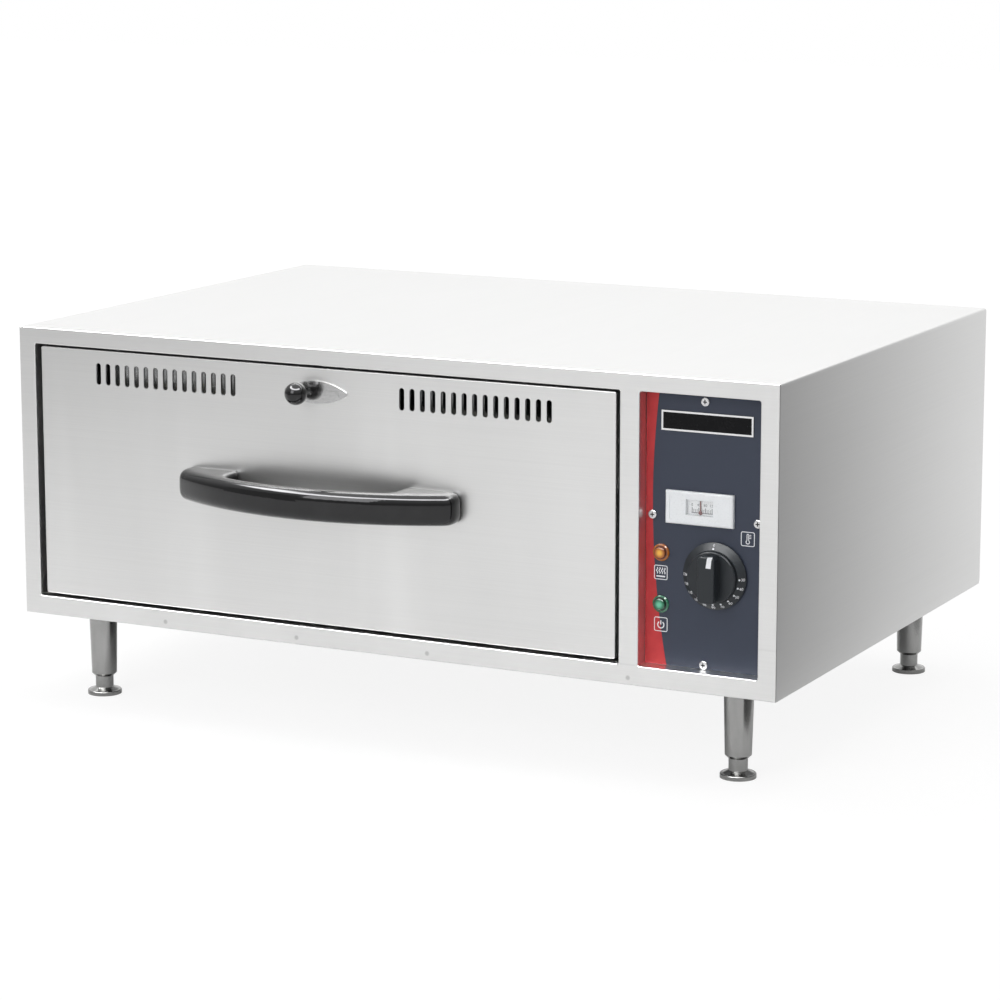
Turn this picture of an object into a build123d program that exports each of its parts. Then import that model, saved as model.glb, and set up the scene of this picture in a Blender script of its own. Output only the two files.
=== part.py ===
"""Countertop warming drawer with one heated drawer and a recessed control bay.

Millimetres, +Z up, front towards -Y. The origin is on the floor, at the middle of the footprint.
"""
from build123d import *
from math import sqrt
import os

os.makedirs("parts", exist_ok=True)

# Cabinet shell
cabinet_w = 785.0
cabinet_d = 540.0
cabinet_h = 280.0
underside_h = 86.0
wrap_t = 1.2
wrap_bend_r = 2.5
flange_w = 14.0
base_t = 1.2
base_lip_h = 12.0
rear_t = 1.2
rear_corner_r = 3.0
soft_gap = 0.3

# Face frame and its two openings
frame_t = 1.5
frame_edge_r = 0.9
stile_w = 17.5
mullion_w = 18.8
top_rail_h = 15.5
bottom_rail_h = 18.0
bay_w = 114.5
opening_r = 2.0
drawer_return_d = 20.0
panel_recess = 15.0
tab_w = 12.0
lamp_tab_w = 9.7

# Heated cavity
liner_t = 1.0
liner_side_step = 3.0
liner_top_step = 1.5
liner_floor_step = 2.0
rear_insulation_t = 25.0
wall_to_bay = 3.0
wall_t = 1.2
wall_flange_w = 12.0

# Drawer front
face_recess = 3.0
face_side_gap = 5.0
face_top_gap = 2.5
face_bottom_gap = 3.0
skin_t = 1.2
skin_bend_r = 1.2
skin_corner_r = 2.0
front_d = 24.0
inner_plate_t = 1.0
inner_plate_inset = 2.0
plenum_h = 45.0

# Vents, shutter and its ball knob
slot_w = 5.2
slot_h = 20.6
slot_pitch = 10.63
slots_per_group = 15
slot_group_start = 89.2
vent_drop = 22.6
shutter_t = 1.0
shutter_h = 30.0
shutter_margin = 12.0
shutter_gap = 0.3
guide_t = 1.0
guide_w = 8.0
guide_lap = 4.0
vent_plate_w = 69.0
vent_plate_h = 21.0
vent_plate_t = 1.5
vent_plate_tip_r = 2.0
knob_offset = 12.0
stem_r = 3.0
stem_gap = 0.4
stem_tip_r = 2.0
ball_r = 10.5
ball_reach = 16.5

# Bow handle
handle_w = 292.0
handle_h = 30.0
handle_reach = 57.0
handle_foot_w = 58.0
handle_foot_rise = 17.0
handle_bar_t = 14.0
handle_shoulder_r = 14.0
handle_front_r = 9.0
handle_back_r = 4.0
handle_flat = 1.0
rim_tolerance = 0.3
handle_inner_r = 12.0
handle_x = 4.2
handle_drop = 118.0
handle_screw_r = 2.5
handle_screw_inset = 26.0
handle_screw_depth = 12.0

# Drawer carrier and pan
carrier_t = 1.2
carrier_rear_gap = 53.6
carrier_side_h = 42.0
carrier_front_h = 115.0
carrier_rim_drop = 61.0
gusset_d = 70.0
pan_side_gap = 22.35
pan_end_gap = 52.5
pan_lift = 20.5
pan_t = 1.0
pan_rim_w = 12.5
pan_rim_r = 34.0
pan_taper = 3.0
pan_floor_r = 12.0
pan_gap = 0.5

# Roller slides
rail_t = 1.5
rail_setback = 3.0
rail_rear_gap = 30.6
roller_r = 10.0
roller_w = 8.0
roller_bore_gap = 0.05
roller_end_gap = 0.25
roller_chamfer = 0.6
track_gap = 0.2
web_gap = 2.0
edge_gap = 0.6
pin_r = 2.5
shoulder_r = 4.0
pin_head_t = 0.6
front_pin_setback = 16.0
rear_pin_setback = 15.0
runner_rear_inset = 2.0
slide_below_rim = 20.0
rivet_r = 2.2
rivet_head_r = 3.6
rivet_head_t = 1.2
rivets_per_rail = 3

# Heating element
element_r = 4.0
element_lift = 14.0
element_bend_r = 36.0
element_first_y = 98.0
element_run_gap = 80.0
element_end_gap = 60.0
element_hole_gap = 0.4
element_tail = 22.0
clip_t = 1.2
clip_foot_w = 14.0
clip_gap = 0.15
clip_end = 16.0

# Control panel
panel_t = 1.2
panel_gap = 0.3
overlay_t = 0.4
plate_w = 87.0
plate_h = 17.8
plate_t = 0.8
plate_x = 1.25
plate_drop = 25.9
panel_screw_r = 1.5
panel_screw_gap = 0.05
panel_screw_l = 9.0
panel_head_r = 4.0
panel_head_t = 1.9
panel_cross_w = 1.0
panel_cross_l = 4.0
upper_screw_x = -0.75
upper_screw_inset = 7.2
left_screw_inset = 7.1
right_screw_inset = 7.1
side_screw_drop = 111.0
lower_screw_x = -0.05
lower_screw_inset = 4.2

# Thermometer
meter_w = 64.3
meter_h = 29.4
meter_proud = 4.0
meter_body_w = 58.0
meter_body_h = 25.0
meter_body_d = 24.0
meter_cutout_gap = 0.2
meter_x = -4.55
meter_drop = 102.2
meter_border = 4.0
meter_field_d = 0.6
meter_window_w = 26.0
meter_window_h = 14.0
meter_window_rise = 0.9
meter_well_d = 5.0
meter_dial_t = 0.5
meter_glass_t = 1.0
meter_glass_inset = 0.8
needle_t = 0.5
needle_w = 1.2
needle_l = 10.5
needle_pivot_drop = 4.8
needle_hub_r = 1.8
spindle_r = 0.8
spindle_gap = 0.05
spindle_l = 3.0

# Thermostat and its knob
dial_x = 10.35
dial_drop = 160.7
body_w = 44.0
body_d = 32.0
bushing_r = 5.0
shaft_r = 3.0
shaft_gap = 0.05
shaft_flat = 0.8
shaft_reach = 14.0
shaft_end_gap = 3.0
skirt_r = 30.0
skirt_t = 1.0
skirt_cone_t = 4.2
skirt_top_r = 23.8
skirt_lift = 1.4
grip_r = 23.0
grip_t = 4.3
bar_w = 16.0
bar_t = 12.0
bar_edge_r = 1.5

# Pilot lamps
lamp_x = 15.5
heat_lamp_drop = 144.6
power_lamp_drop = 191.1
lens_r = 7.8
lens_rim_t = 2.0
lens_dome_r = 5.4
lens_dome_t = 2.6
lens_dome_step = 0.5
lamp_body_r = 5.5
lamp_body_d = 28.0

# Sensor capillaries
capillary_r = 1.2
capillary_hole_gap = 0.4
capillary_bend_r = 10.0
bulb_r = 3.0
sensor_length = 90.0
thermostat_bulb_y = 95.0
meter_bulb_y = 130.0
bulb_wall_gap = 9.0

# Mains entry
gland_r = 10.0
gland_gap = 0.2
gland_bore_r = 5.0
gland_nut_r = 13.5
gland_nut_t = 6.0
gland_proud = 18.0
gland_tail = 11.0
locknut_t = 4.0
gland_lift = 40.0
bay_vent_w = 4.0
bay_vent_h = 46.0
bay_vent_pitch = 9.0
bay_vents = 9
bay_vent_drop = 60.0
block_w = 62.0
block_d = 22.0
block_h = 18.0
block_post_w = 6.0
block_setback = 70.0
terminals = 3
terminal_r = 3.2

# Rear panel screws
rear_screw_r = 1.8
rear_head_r = 3.8
rear_head_t = 1.6
rear_screw_l = 6.0
rear_screw_inset_x = 157.0
rear_screw_inset_z = 70.0

# Legs and levelling feet
leg_inset_x = 55.4
leg_inset_y = 50.0
leg_top_r = 13.8
leg_end_r = 12.1
leg_chamfer = 3.0
leg_clear = 18.0
stud_r = 5.0
stud_gap = 0.2
stud_l = 12.0
nut_r = 9.8
nut_t = 8.0
neck_r = 8.7
neck_gap = 0.05
neck_hold = 17.0
neck_end_gap = 2.0
foot_r = 16.5
foot_t = 4.2
foot_cone_t = 2.6
foot_edge_r = 1.0
foot_travel = 25.0

# Places that follow from the sizes
left_x = -cabinet_w / 2
right_x = cabinet_w / 2
handle_proud = handle_reach - face_recess
front_y = (handle_proud - cabinet_d - gland_proud) / 2
rear_y = front_y + cabinet_d
rear_inner_y = rear_y - rear_t - max(wrap_t, base_t)
soft_back_y = rear_y - max(rear_screw_l, rear_y - rear_inner_y) - soft_gap
base_z = underside_h
top_z = base_z + cabinet_h
floor_z = base_z + wrap_t + base_t
open_x0 = left_x + stile_w
open_x1 = right_x - stile_w - bay_w - mullion_w
open_z0 = base_z + bottom_rail_h
open_z1 = top_z - top_rail_h
drawer_cx = (open_x0 + open_x1) / 2
bay_x0 = open_x1 + mullion_w
bay_x1 = right_x - stile_w
bay_cx = (bay_x0 + bay_x1) / 2
overlay_y = front_y + panel_recess
panel_y = overlay_y + overlay_t
tab_y = panel_y + panel_t
cavity_x0 = open_x0 - liner_side_step
cavity_x1 = open_x1 + liner_side_step
cavity_z0 = open_z0 - liner_floor_step
cavity_z1 = open_z1 + liner_top_step
cavity_y0 = front_y + drawer_return_d
cavity_y1 = rear_inner_y - rear_insulation_t - liner_t
bay_wall_x1 = bay_x0 - frame_t - wall_to_bay
bay_wall_x0 = bay_wall_x1 - wall_t
face_x0 = open_x0 + face_side_gap
face_x1 = open_x1 - face_side_gap
face_z0 = open_z0 + face_bottom_gap
face_z1 = open_z1 - face_top_gap
face_y = front_y + face_recess
skin_back_y = face_y + front_d
carrier_y0 = skin_back_y + inner_plate_t
carrier_y1 = cavity_y1 - carrier_rear_gap
vent_z = face_z1 - vent_drop
handle_z = face_z1 - handle_drop
handle_cx = drawer_cx + handle_x
rim_z = face_z1 + face_top_gap - carrier_rim_drop
slide_z = rim_z - slide_below_rim
roller_a = rail_t + web_gap
rail_depth = roller_a + roller_w + edge_gap
runner_start = rail_depth + edge_gap
roller_b = runner_start + edge_gap
runner_web = roller_b + roller_w + edge_gap + pin_head_t
carrier_inset = runner_web + rail_t
carrier_x0 = cavity_x0 + carrier_inset
carrier_x1 = cavity_x1 - carrier_inset
rail_y0 = carrier_y0 + rail_setback
rail_y1 = cavity_y1 - rail_rear_gap
runner_y1 = carrier_y1 - runner_rear_inset
front_pin_y = rail_y0 + front_pin_setback
rear_pin_y = runner_y1 - rear_pin_setback
pan_cy = (carrier_y0 + carrier_y1) / 2
pan_w = carrier_x1 - carrier_x0 - 2 * pan_side_gap
pan_d = carrier_y1 - carrier_y0 - 2 * pan_end_gap
element_z = cavity_z0 + element_lift
pan_h = rim_z + pan_t - element_z - element_r - pan_lift
dial_cx = bay_cx + dial_x
dial_z = open_z1 - dial_drop
meter_cx = bay_cx + meter_x
meter_z = open_z1 - meter_drop
window_z = meter_z + meter_window_rise
pivot_z = window_z - needle_pivot_drop
gland_z = floor_z + gland_lift
leg_top_z = base_z + wrap_t
neck_l = foot_travel + neck_hold


def block(xa, xb, ya, yb, za, zb):
    """A square-edged solid between two opposite corners."""
    centre = Pos((xa + xb) / 2, (ya + yb) / 2, (za + zb) / 2)
    return centre * Box(abs(xb - xa), abs(yb - ya), abs(zb - za))


def rod_x(xa, xb, y, z, r):
    """A round bar along X."""
    return Pos((xa + xb) / 2, y, z) * Rot(0, 90, 0) * Cylinder(r, abs(xb - xa))


def rod_y(x, ya, yb, z, r):
    """A round bar along Y."""
    return Pos(x, (ya + yb) / 2, z) * Rot(90, 0, 0) * Cylinder(r, abs(yb - ya))


def rod_z(x, y, za, zb, r):
    """A round bar along Z."""
    return Pos(x, y, (za + zb) / 2) * Cylinder(r, abs(zb - za))


def rect(xa, xb, za, zb, r=0.0):
    """A front-view rectangle, with rounded corners where r is given."""
    centre = Pos((xa + xb) / 2, (za + zb) / 2)
    if r > 0:
        return centre * RectangleRounded(xb - xa, zb - za, r)
    return centre * Rectangle(xb - xa, zb - za)


def along_y(outline, ya, yb):
    """A front-view outline carried from ya back to yb."""
    plane = Plane(origin=(0, yb, 0), x_dir=(1, 0, 0), z_dir=(0, -1, 0))
    return extrude(plane * outline, amount=yb - ya)


def along_x(outline, xa, xb):
    """A side-view outline, drawn in Y and Z, carried from xa to xb."""
    plane = Plane(origin=(xa, 0, 0), x_dir=(0, 1, 0), z_dir=(1, 0, 0))
    return extrude(plane * outline, amount=xb - xa)


def side_x(side, depth):
    """X at a depth in from the cavity's left (-1) or right (+1) wall."""
    return cavity_x0 + depth if side < 0 else cavity_x1 - depth


def drawer_opening(growth=0.0):
    """Outline of the drawer opening."""
    r = opening_r + growth
    return rect(open_x0 - growth, open_x1 + growth, open_z0 - growth, open_z1 + growth, r)


def bay_opening(growth=0.0):
    """Outline of the control bay's opening."""
    r = opening_r + growth
    return rect(bay_x0 - growth, bay_x1 + growth, open_z0 - growth, open_z1 + growth, r)


def vent_slots():
    """Front-view outlines of both groups of upright vent slots."""
    slot = Rot(0, 0, 90) * SlotOverall(slot_h, slot_w)
    steps = [slot_group_start + slot_pitch * i for i in range(slots_per_group)]
    places = [drawer_cx + side * step for side in (-1, 1) for step in steps]
    return Sketch() + [Pos(x, vent_z) * slot for x in places]


def stem_slot(gap):
    """Front-view outline of the slot that the shutter's stem travels in."""
    half = stem_r + gap
    travel = slot_pitch / 2
    centre_x = drawer_cx - knob_offset + travel / 2
    return Pos(centre_x, vent_z) * SlotOverall(travel + 2 * half, 2 * half)


def rear_screw_places():
    """Where the rear panel's screws stand, as X and Z."""
    inset = flange_w / 2
    xs = (left_x + rear_screw_inset_x, (left_x + right_x) / 2, right_x - rear_screw_inset_x)
    zs = (base_z + rear_screw_inset_z, top_z - rear_screw_inset_z)
    sides = [(x, z) for x in (left_x + inset, right_x - inset) for z in zs]
    return sides + [(x, z) for x in xs for z in (base_z + inset, top_z - inset)]


def panel_screw_places():
    """Where the control panel's four screws stand, as X and Z."""
    side_z = open_z1 - side_screw_drop
    upper = (bay_cx + upper_screw_x, open_z1 - upper_screw_inset)
    left = (bay_x0 + left_screw_inset, side_z)
    right = (bay_x1 - right_screw_inset, side_z)
    lower = (bay_cx + lower_screw_x, open_z0 + lower_screw_inset)
    return [upper, left, right, lower]


def handle_screw_places():
    """X of the handle's two fixing screws."""
    reach = handle_w / 2 - handle_screw_inset
    return [handle_cx - reach, handle_cx + reach]


def element_runs():
    """Y of the heating element's four straight runs."""
    return [cavity_y0 + element_first_y + element_run_gap * i for i in range(4)]


def leg_places():
    """Names and centres of the four legs."""
    xs = {"left": left_x + leg_inset_x, "right": right_x - leg_inset_x}
    ys = {"front": front_y + leg_inset_y, "rear": rear_y - leg_inset_y}
    return [(f"{end}_{side}", xs[side], ys[end]) for end in ys for side in xs]


def wall_pass_throughs(xa, xb):
    """Round holes through the bay-side walls for the element's ends and both capillaries."""
    element_hole = element_r + element_hole_gap
    tube_hole = capillary_r + capillary_hole_gap
    runs = element_runs()
    holes = [rod_x(xa, xb, y, element_z, element_hole) for y in (runs[0], runs[-1])]
    holes.append(rod_x(xa, xb, front_y + thermostat_bulb_y, dial_z, tube_hole))
    holes.append(rod_x(xa, xb, front_y + meter_bulb_y, meter_z, tube_hole))
    return holes


def outer_wrap():
    """Top and both sides folded from one sheet, with flanges turned in below and behind."""
    outline = rect(left_x, right_x, base_z, top_z)
    outline = fillet(outline.vertices().group_by(Axis.Y)[-1], wrap_bend_r)
    inner_r = wrap_bend_r - wrap_t
    hollow = rect(left_x + wrap_t, right_x - wrap_t, base_z + wrap_t, top_z - wrap_t)
    if inner_r > 0:
        hollow = fillet(hollow.vertices().group_by(Axis.Y)[-1], inner_r)
    mouth = rect(left_x + flange_w, right_x - flange_w, base_z, base_z + wrap_t)
    shell = along_y(outline - hollow - mouth, front_y + frame_t, rear_y - rear_t)
    inside = rect(left_x + flange_w, right_x - flange_w, base_z + wrap_t, top_z - flange_w)
    shell += along_y(hollow - inside, rear_y - rear_t - wrap_t, rear_y - rear_t)
    for x, z in rear_screw_places():
        shell -= rod_y(x, rear_y - 2 * rear_screw_l, rear_y, z, rear_screw_r)
    return shell


def face_frame():
    """Folded front frame: drawer opening, mullion and the recess of the control bay."""
    face = rect(left_x, right_x, base_z, top_z) - drawer_opening() - bay_opening()
    plate = along_y(face, front_y, front_y + frame_t)
    front_edges = plate.edges().group_by(Axis.Y)[0]
    plate = fillet(front_edges, frame_edge_r)
    back_y = front_y + frame_t
    drawer_ring = drawer_opening(frame_t) - drawer_opening()
    bay_ring = bay_opening(frame_t) - bay_opening()
    plate += along_y(drawer_ring, back_y, cavity_y0)
    plate += along_y(bay_ring, back_y, tab_y + frame_t)
    tab_x0 = bay_x0 + lamp_tab_w
    window = rect(tab_x0, bay_x1 - tab_w, open_z0 + tab_w, open_z1 - tab_w)
    plate += along_y(bay_opening() - window, tab_y, tab_y + frame_t)
    for x, z in panel_screw_places():
        plate -= rod_y(x, tab_y - frame_t, tab_y + 2 * frame_t, z, panel_screw_r + panel_screw_gap)
    return plate


def base_pan():
    """Bottom sheet with upturned lips in front and behind, drilled for the legs' studs."""
    z0 = base_z + wrap_t
    y0 = front_y + frame_t
    pan = block(left_x + wrap_t, right_x - wrap_t, y0, rear_inner_y, z0, floor_z)
    pan += block(left_x + flange_w, right_x - flange_w, rear_inner_y, rear_y - rear_t, z0, floor_z)
    lip_x0 = left_x + flange_w
    lip_x1 = right_x - flange_w
    pan += block(lip_x0, lip_x1, y0, y0 + base_t, floor_z, z0 + base_lip_h)
    pan += block(lip_x0, lip_x1, rear_y - rear_t - base_t, rear_y - rear_t, floor_z, z0 + base_lip_h)
    for _, x, y in leg_places():
        pan -= rod_z(x, y, z0 - base_t, floor_z + base_t, stud_r + stud_gap)
    for x, z in rear_screw_places():
        pan -= rod_y(x, rear_y - 2 * rear_screw_l, rear_y, z, rear_screw_r)
    return pan


def rear_panel():
    """Screwed-on back sheet with the control bay's cooling slots and the gland's hole."""
    sheet = rect(left_x, right_x, base_z, top_z, rear_corner_r)
    slot = Rot(0, 0, 90) * SlotOverall(bay_vent_h, bay_vent_w)
    first_x = bay_cx - bay_vent_pitch * (bay_vents - 1) / 2
    for i in range(bay_vents):
        sheet -= Pos(first_x + bay_vent_pitch * i, top_z - bay_vent_drop) * slot
    sheet -= Pos(bay_cx, gland_z) * Circle(gland_r + gland_gap)
    for x, z in rear_screw_places():
        sheet -= Pos(x, z) * Circle(rear_screw_r)
    return along_y(sheet, rear_y - rear_t, rear_y)


def rear_panel_screws():
    """Round-headed screws round the edge of the rear panel."""
    screws = []
    for x, z in rear_screw_places():
        head = rod_y(x, rear_y, rear_y + rear_head_t, z, rear_head_r)
        head = fillet(head.edges().group_by(Axis.Y)[-1], rear_head_t / 2)
        screws.append(head + rod_y(x, rear_y - rear_screw_l, rear_y, z, rear_screw_r))
    return Compound(screws)


def cavity_liner():
    """Bright box of the heated cavity, open to the drawer, with a lip that meets the frame."""
    outer = block(cavity_x0 - liner_t, cavity_x1 + liner_t, cavity_y0, cavity_y1 + liner_t,
                  cavity_z0 - liner_t, cavity_z1 + liner_t)
    inner = block(cavity_x0, cavity_x1, cavity_y0 + liner_t, cavity_y1, cavity_z0, cavity_z1)
    liner = outer - inner - along_y(drawer_opening(), cavity_y0 - liner_t, cavity_y0 + 2 * liner_t)
    for hole in wall_pass_throughs(cavity_x1 - liner_t, cavity_x1 + 2 * liner_t):
        liner -= hole
    for side in (-1, 1):
        for y in rivet_places():
            liner -= rod_x(side_x(side, liner_t), side_x(side, -2 * liner_t), y, slide_z, rivet_r)
    return liner


def soft_outline():
    """Front view of the space round the cavity, eased under the wrap's folded corner."""
    gap = soft_gap
    outline = rect(left_x + wrap_t + gap, bay_wall_x0 - gap, cavity_z0 - liner_t, top_z - wrap_t - gap)
    corner = outline.vertices().group_by(Axis.Y)[-1].sort_by(Axis.X)[0]
    return fillet(corner, wrap_bend_r)


def insulation_blanket():
    """Mineral-wool blanket folded over the cavity's left side, top and right side."""
    gap = soft_gap
    y0 = front_y + frame_t + base_t + gap
    y1 = cavity_y1 + liner_t
    z0 = cavity_z0 - liner_t
    blanket = along_y(soft_outline(), y0, y1)
    blanket -= block(cavity_x0 - liner_t - gap, cavity_x1 + liner_t + gap, y0 - gap, y1 + gap,
                     z0 - gap, cavity_z1 + liner_t + gap)
    for hole in wall_pass_throughs(cavity_x1, bay_wall_x1):
        blanket -= hole
    return blanket


def insulation_base():
    """Mineral-wool board under the cavity, holed round the nuts of the left legs."""
    gap = soft_gap
    y0 = front_y + frame_t + base_t + gap
    z1 = cavity_z0 - liner_t - gap
    board = block(left_x + wrap_t + gap, bay_wall_x0 - gap, y0, soft_back_y, floor_z + gap, z1)
    for name, x, y in leg_places():
        if name.endswith("left"):
            board -= rod_z(x, y, floor_z - gap, z1 + gap, nut_r + 2 * gap)
    return board


def insulation_rear():
    """Mineral-wool board behind the cavity."""
    return along_y(soft_outline(), cavity_y1 + liner_t + soft_gap, soft_back_y)


def bay_wall():
    """Folded wall between the heated cavity and the control bay."""
    y0 = front_y + frame_t + base_t
    z1 = top_z - wrap_t
    wall = block(bay_wall_x0, bay_wall_x1, y0, rear_inner_y, floor_z, z1)
    foot_x = bay_wall_x0 + wall_flange_w
    foot_y0 = tab_y + 2 * frame_t
    wall += block(bay_wall_x0, foot_x, foot_y0, rear_inner_y, floor_z, floor_z + wall_t)
    wall += block(bay_wall_x0, foot_x, foot_y0, rear_inner_y, z1 - wall_t, z1)
    for hole in wall_pass_throughs(bay_wall_x0 - wall_t, bay_wall_x1 + wall_t):
        wall -= hole
    return wall


def rivet_places():
    """Y of the rivets that hold one slide rail to the liner."""
    first_y = rail_y0 + 2 * front_pin_setback
    step = (rail_y1 - rear_pin_setback - first_y) / (rivets_per_rail - 1)
    return [first_y + step * i for i in range(rivets_per_rail)]


def channel(side, web_depth, mouth_depth):
    """Front-view outline of a rolled channel from its web's back to its flanges' edge."""
    half = roller_r + track_gap
    xs = sorted((side_x(side, web_depth), side_x(side, mouth_depth)))
    outline = rect(xs[0], xs[1], slide_z - half - rail_t, slide_z + half + rail_t)
    inward = rail_t if mouth_depth > web_depth else -rail_t
    track = sorted((side_x(side, web_depth + inward), side_x(side, mouth_depth + inward)))
    return outline - rect(track[0], track[1], slide_z - half, slide_z + half)


def roller_pin(side, y, root, bearing, tip, toward):
    """Shouldered rivet: thick to the roller, thin through it, headed beyond it."""
    near = bearing - toward * roller_end_gap
    far = bearing + toward * (roller_w + roller_end_gap)
    pin = rod_x(side_x(side, root), side_x(side, near), y, slide_z, shoulder_r)
    pin += rod_x(side_x(side, near), side_x(side, far), y, slide_z, pin_r)
    pin += rod_x(side_x(side, far), side_x(side, tip), y, slide_z, shoulder_r)
    return pin


def slide_rail(side):
    """Cabinet half of a roller slide: a channel with a pinned roller at its mouth."""
    rail = along_y(channel(side, 0.0, rail_depth), rail_y0, rail_y1)
    for y in rivet_places():
        rail -= rod_x(side_x(side, -rail_t), side_x(side, 2 * rail_t), y, slide_z, rivet_r)
    tip = roller_b + roller_w + roller_end_gap + pin_head_t
    return rail + roller_pin(side, front_pin_y, rail_t, roller_b, tip, 1)


def slide_runner(side):
    """Drawer half of a roller slide: a channel that faces out, with a roller at its tail."""
    runner = along_y(channel(side, carrier_inset, runner_start), carrier_y0, runner_y1)
    tip = roller_a - roller_end_gap - pin_head_t
    return runner + roller_pin(side, rear_pin_y, runner_web, roller_a + roller_w, tip, -1)


def roller(side, y, depth):
    """Nylon roller, bored for its pin, with eased rims."""
    xa = side_x(side, depth)
    xb = side_x(side, depth + roller_w)
    wheel = rod_x(xa, xb, y, slide_z, roller_r)
    wheel = chamfer(wheel.edges(), roller_chamfer)
    return wheel - rod_x(xa, xb, y, slide_z, pin_r + roller_bore_gap)


def rail_rivets():
    """Rivets that fasten both slide rails through the liner."""
    rivets = []
    for side in (-1, 1):
        for y in rivet_places():
            shank = rod_x(side_x(side, -liner_t), side_x(side, rail_t), y, slide_z, rivet_r)
            head = rod_x(side_x(side, rail_t), side_x(side, rail_t + rivet_head_t), y, slide_z, rivet_head_r)
            rivets.append(shank + head)
    return Compound(rivets)


def heating_element():
    """Sheathed tube bent into four runs, both ends passing into the control bay."""
    ya, yb, yc, yd = element_runs()
    x_left = cavity_x0 + element_end_gap
    x_right = cavity_x1 - element_end_gap
    x_bay = bay_wall_x1 + element_tail
    corners = [(x_bay, ya), (x_left, ya), (x_left, yb), (x_right, yb),
               (x_right, yc), (x_left, yc), (x_left, yd), (x_bay, yd)]
    path = FilletPolyline(*[(x, y, element_z) for x, y in corners], radius=element_bend_r)
    section = Plane(origin=path @ 0, z_dir=path % 0) * Circle(element_r)
    tube = sweep(section, path)
    for y in (ya, yd):
        tube += rod_x(x_bay, x_bay + element_tail / 2, y, element_z, element_r / 2)
    return tube


def element_clips():
    """Three notched brackets that stand on the cavity floor and hold the element."""
    runs = element_runs()
    y0 = runs[0] - clip_end
    y1 = runs[-1] + clip_end
    notch_r = element_r + clip_gap
    inset = element_end_gap + element_bend_r + clip_foot_w
    clips = []
    for x in (cavity_x0 + inset, drawer_cx, cavity_x1 - inset):
        clip = block(x, x + clip_foot_w, y0, y1, cavity_z0, cavity_z0 + clip_t)
        clip += block(x, x + clip_t, y0, y1, cavity_z0, element_z + element_r / 2)
        for y in runs:
            clip -= rod_x(x - clip_t, x + 2 * clip_t, y, element_z, notch_r)
            clip -= block(x - clip_t, x + 2 * clip_t, y - notch_r, y + notch_r, element_z, element_z + notch_r)
        clips.append(clip)
    return Compound(clips)


def panel_cutouts(sheet):
    """Cut the thermometer, thermostat, lamp and screw holes out of a panel outline."""
    gap = meter_cutout_gap
    sheet -= Pos(meter_cx, meter_z) * Rectangle(meter_body_w + 2 * gap, meter_body_h + 2 * gap)
    sheet -= Pos(dial_cx, dial_z) * Circle(bushing_r + gap)
    for drop in (heat_lamp_drop, power_lamp_drop):
        sheet -= Pos(bay_x0 + lamp_x, open_z1 - drop) * Circle(lamp_body_r + gap)
    for x, z in panel_screw_places():
        sheet -= Pos(x, z) * Circle(panel_screw_r + panel_screw_gap)
    return sheet


def control_panel():
    """Steel plate that carries the controls, screwed to the tabs at the back of the recess."""
    sheet = panel_cutouts(bay_opening(-panel_gap))
    return along_y(sheet, panel_y, panel_y + panel_t)


def panel_overlay():
    """Printed film over the control panel."""
    sheet = panel_cutouts(bay_opening(-panel_gap))
    return along_y(sheet, overlay_y, overlay_y + overlay_t)


def nameplate_blank():
    """Plain label plate at the top of the control panel."""
    x = bay_cx + plate_x
    z = open_z1 - plate_drop
    plate = rect(x - plate_w / 2, x + plate_w / 2, z - plate_h / 2, z + plate_h / 2)
    return along_y(plate, overlay_y - plate_t, overlay_y)


def panel_screws():
    """Four cross-slotted pan-head screws."""
    screws = []
    for x, z in panel_screw_places():
        head = rod_y(x, overlay_y - panel_head_t, overlay_y, z, panel_head_r)
        head = fillet(head.edges().group_by(Axis.Y)[0], panel_head_t / 2)
        arm = panel_cross_l / 2
        slot = panel_cross_w / 2
        top = overlay_y - 2 * panel_head_t
        floor = overlay_y - panel_head_t / 2
        head -= block(x - arm, x + arm, top, floor, z - slot, z + slot)
        head -= block(x - slot, x + slot, top, floor, z - arm, z + arm)
        screws.append(head + rod_y(x, overlay_y, overlay_y + panel_screw_l, z, panel_screw_r))
    return Compound(screws)


def thermometer_case():
    """Moulded case: bezel in front of the panel, body behind, well for the dial and window."""
    front = overlay_y - meter_proud
    case = Pos(meter_cx, 0, meter_z) * block(-meter_w / 2, meter_w / 2, front, overlay_y,
                                             -meter_h / 2, meter_h / 2)
    case = chamfer(case.edges().group_by(Axis.Y)[0], meter_proud / 4)
    back = overlay_y + meter_body_d
    case += Pos(meter_cx, 0, meter_z) * block(-meter_body_w / 2, meter_body_w / 2, overlay_y, back,
                                              -meter_body_h / 2, meter_body_h / 2)
    field = Pos(meter_cx, meter_z) * Rectangle(meter_w - 2 * meter_border, meter_h - 2 * meter_border)
    case -= along_y(field, front, front + meter_field_d)
    well = Pos(meter_cx, window_z) * Rectangle(meter_window_w, meter_window_h)
    hole_y = front + meter_well_d
    case -= along_y(well, front, hole_y)
    case -= rod_y(meter_cx, hole_y, hole_y + 2 * spindle_l, pivot_z, spindle_r + spindle_gap)
    return case


def thermometer_dial():
    """Scale card at the back of the case's well, pierced for the spindle."""
    back = overlay_y - meter_proud + meter_well_d
    gap = meter_cutout_gap
    card = Pos(meter_cx, window_z) * Rectangle(meter_window_w - 2 * gap, meter_window_h - 2 * gap)
    card -= Pos(meter_cx, pivot_z) * Circle(spindle_r + spindle_gap)
    return along_y(card, back - meter_dial_t, back)


def thermometer_window():
    """Clear window set just inside the bezel."""
    front = overlay_y - meter_proud + meter_glass_inset
    gap = meter_cutout_gap
    pane = Pos(meter_cx, window_z) * Rectangle(meter_window_w - 2 * gap, meter_window_h - 2 * gap)
    return along_y(pane, front, front + meter_glass_t)


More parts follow.
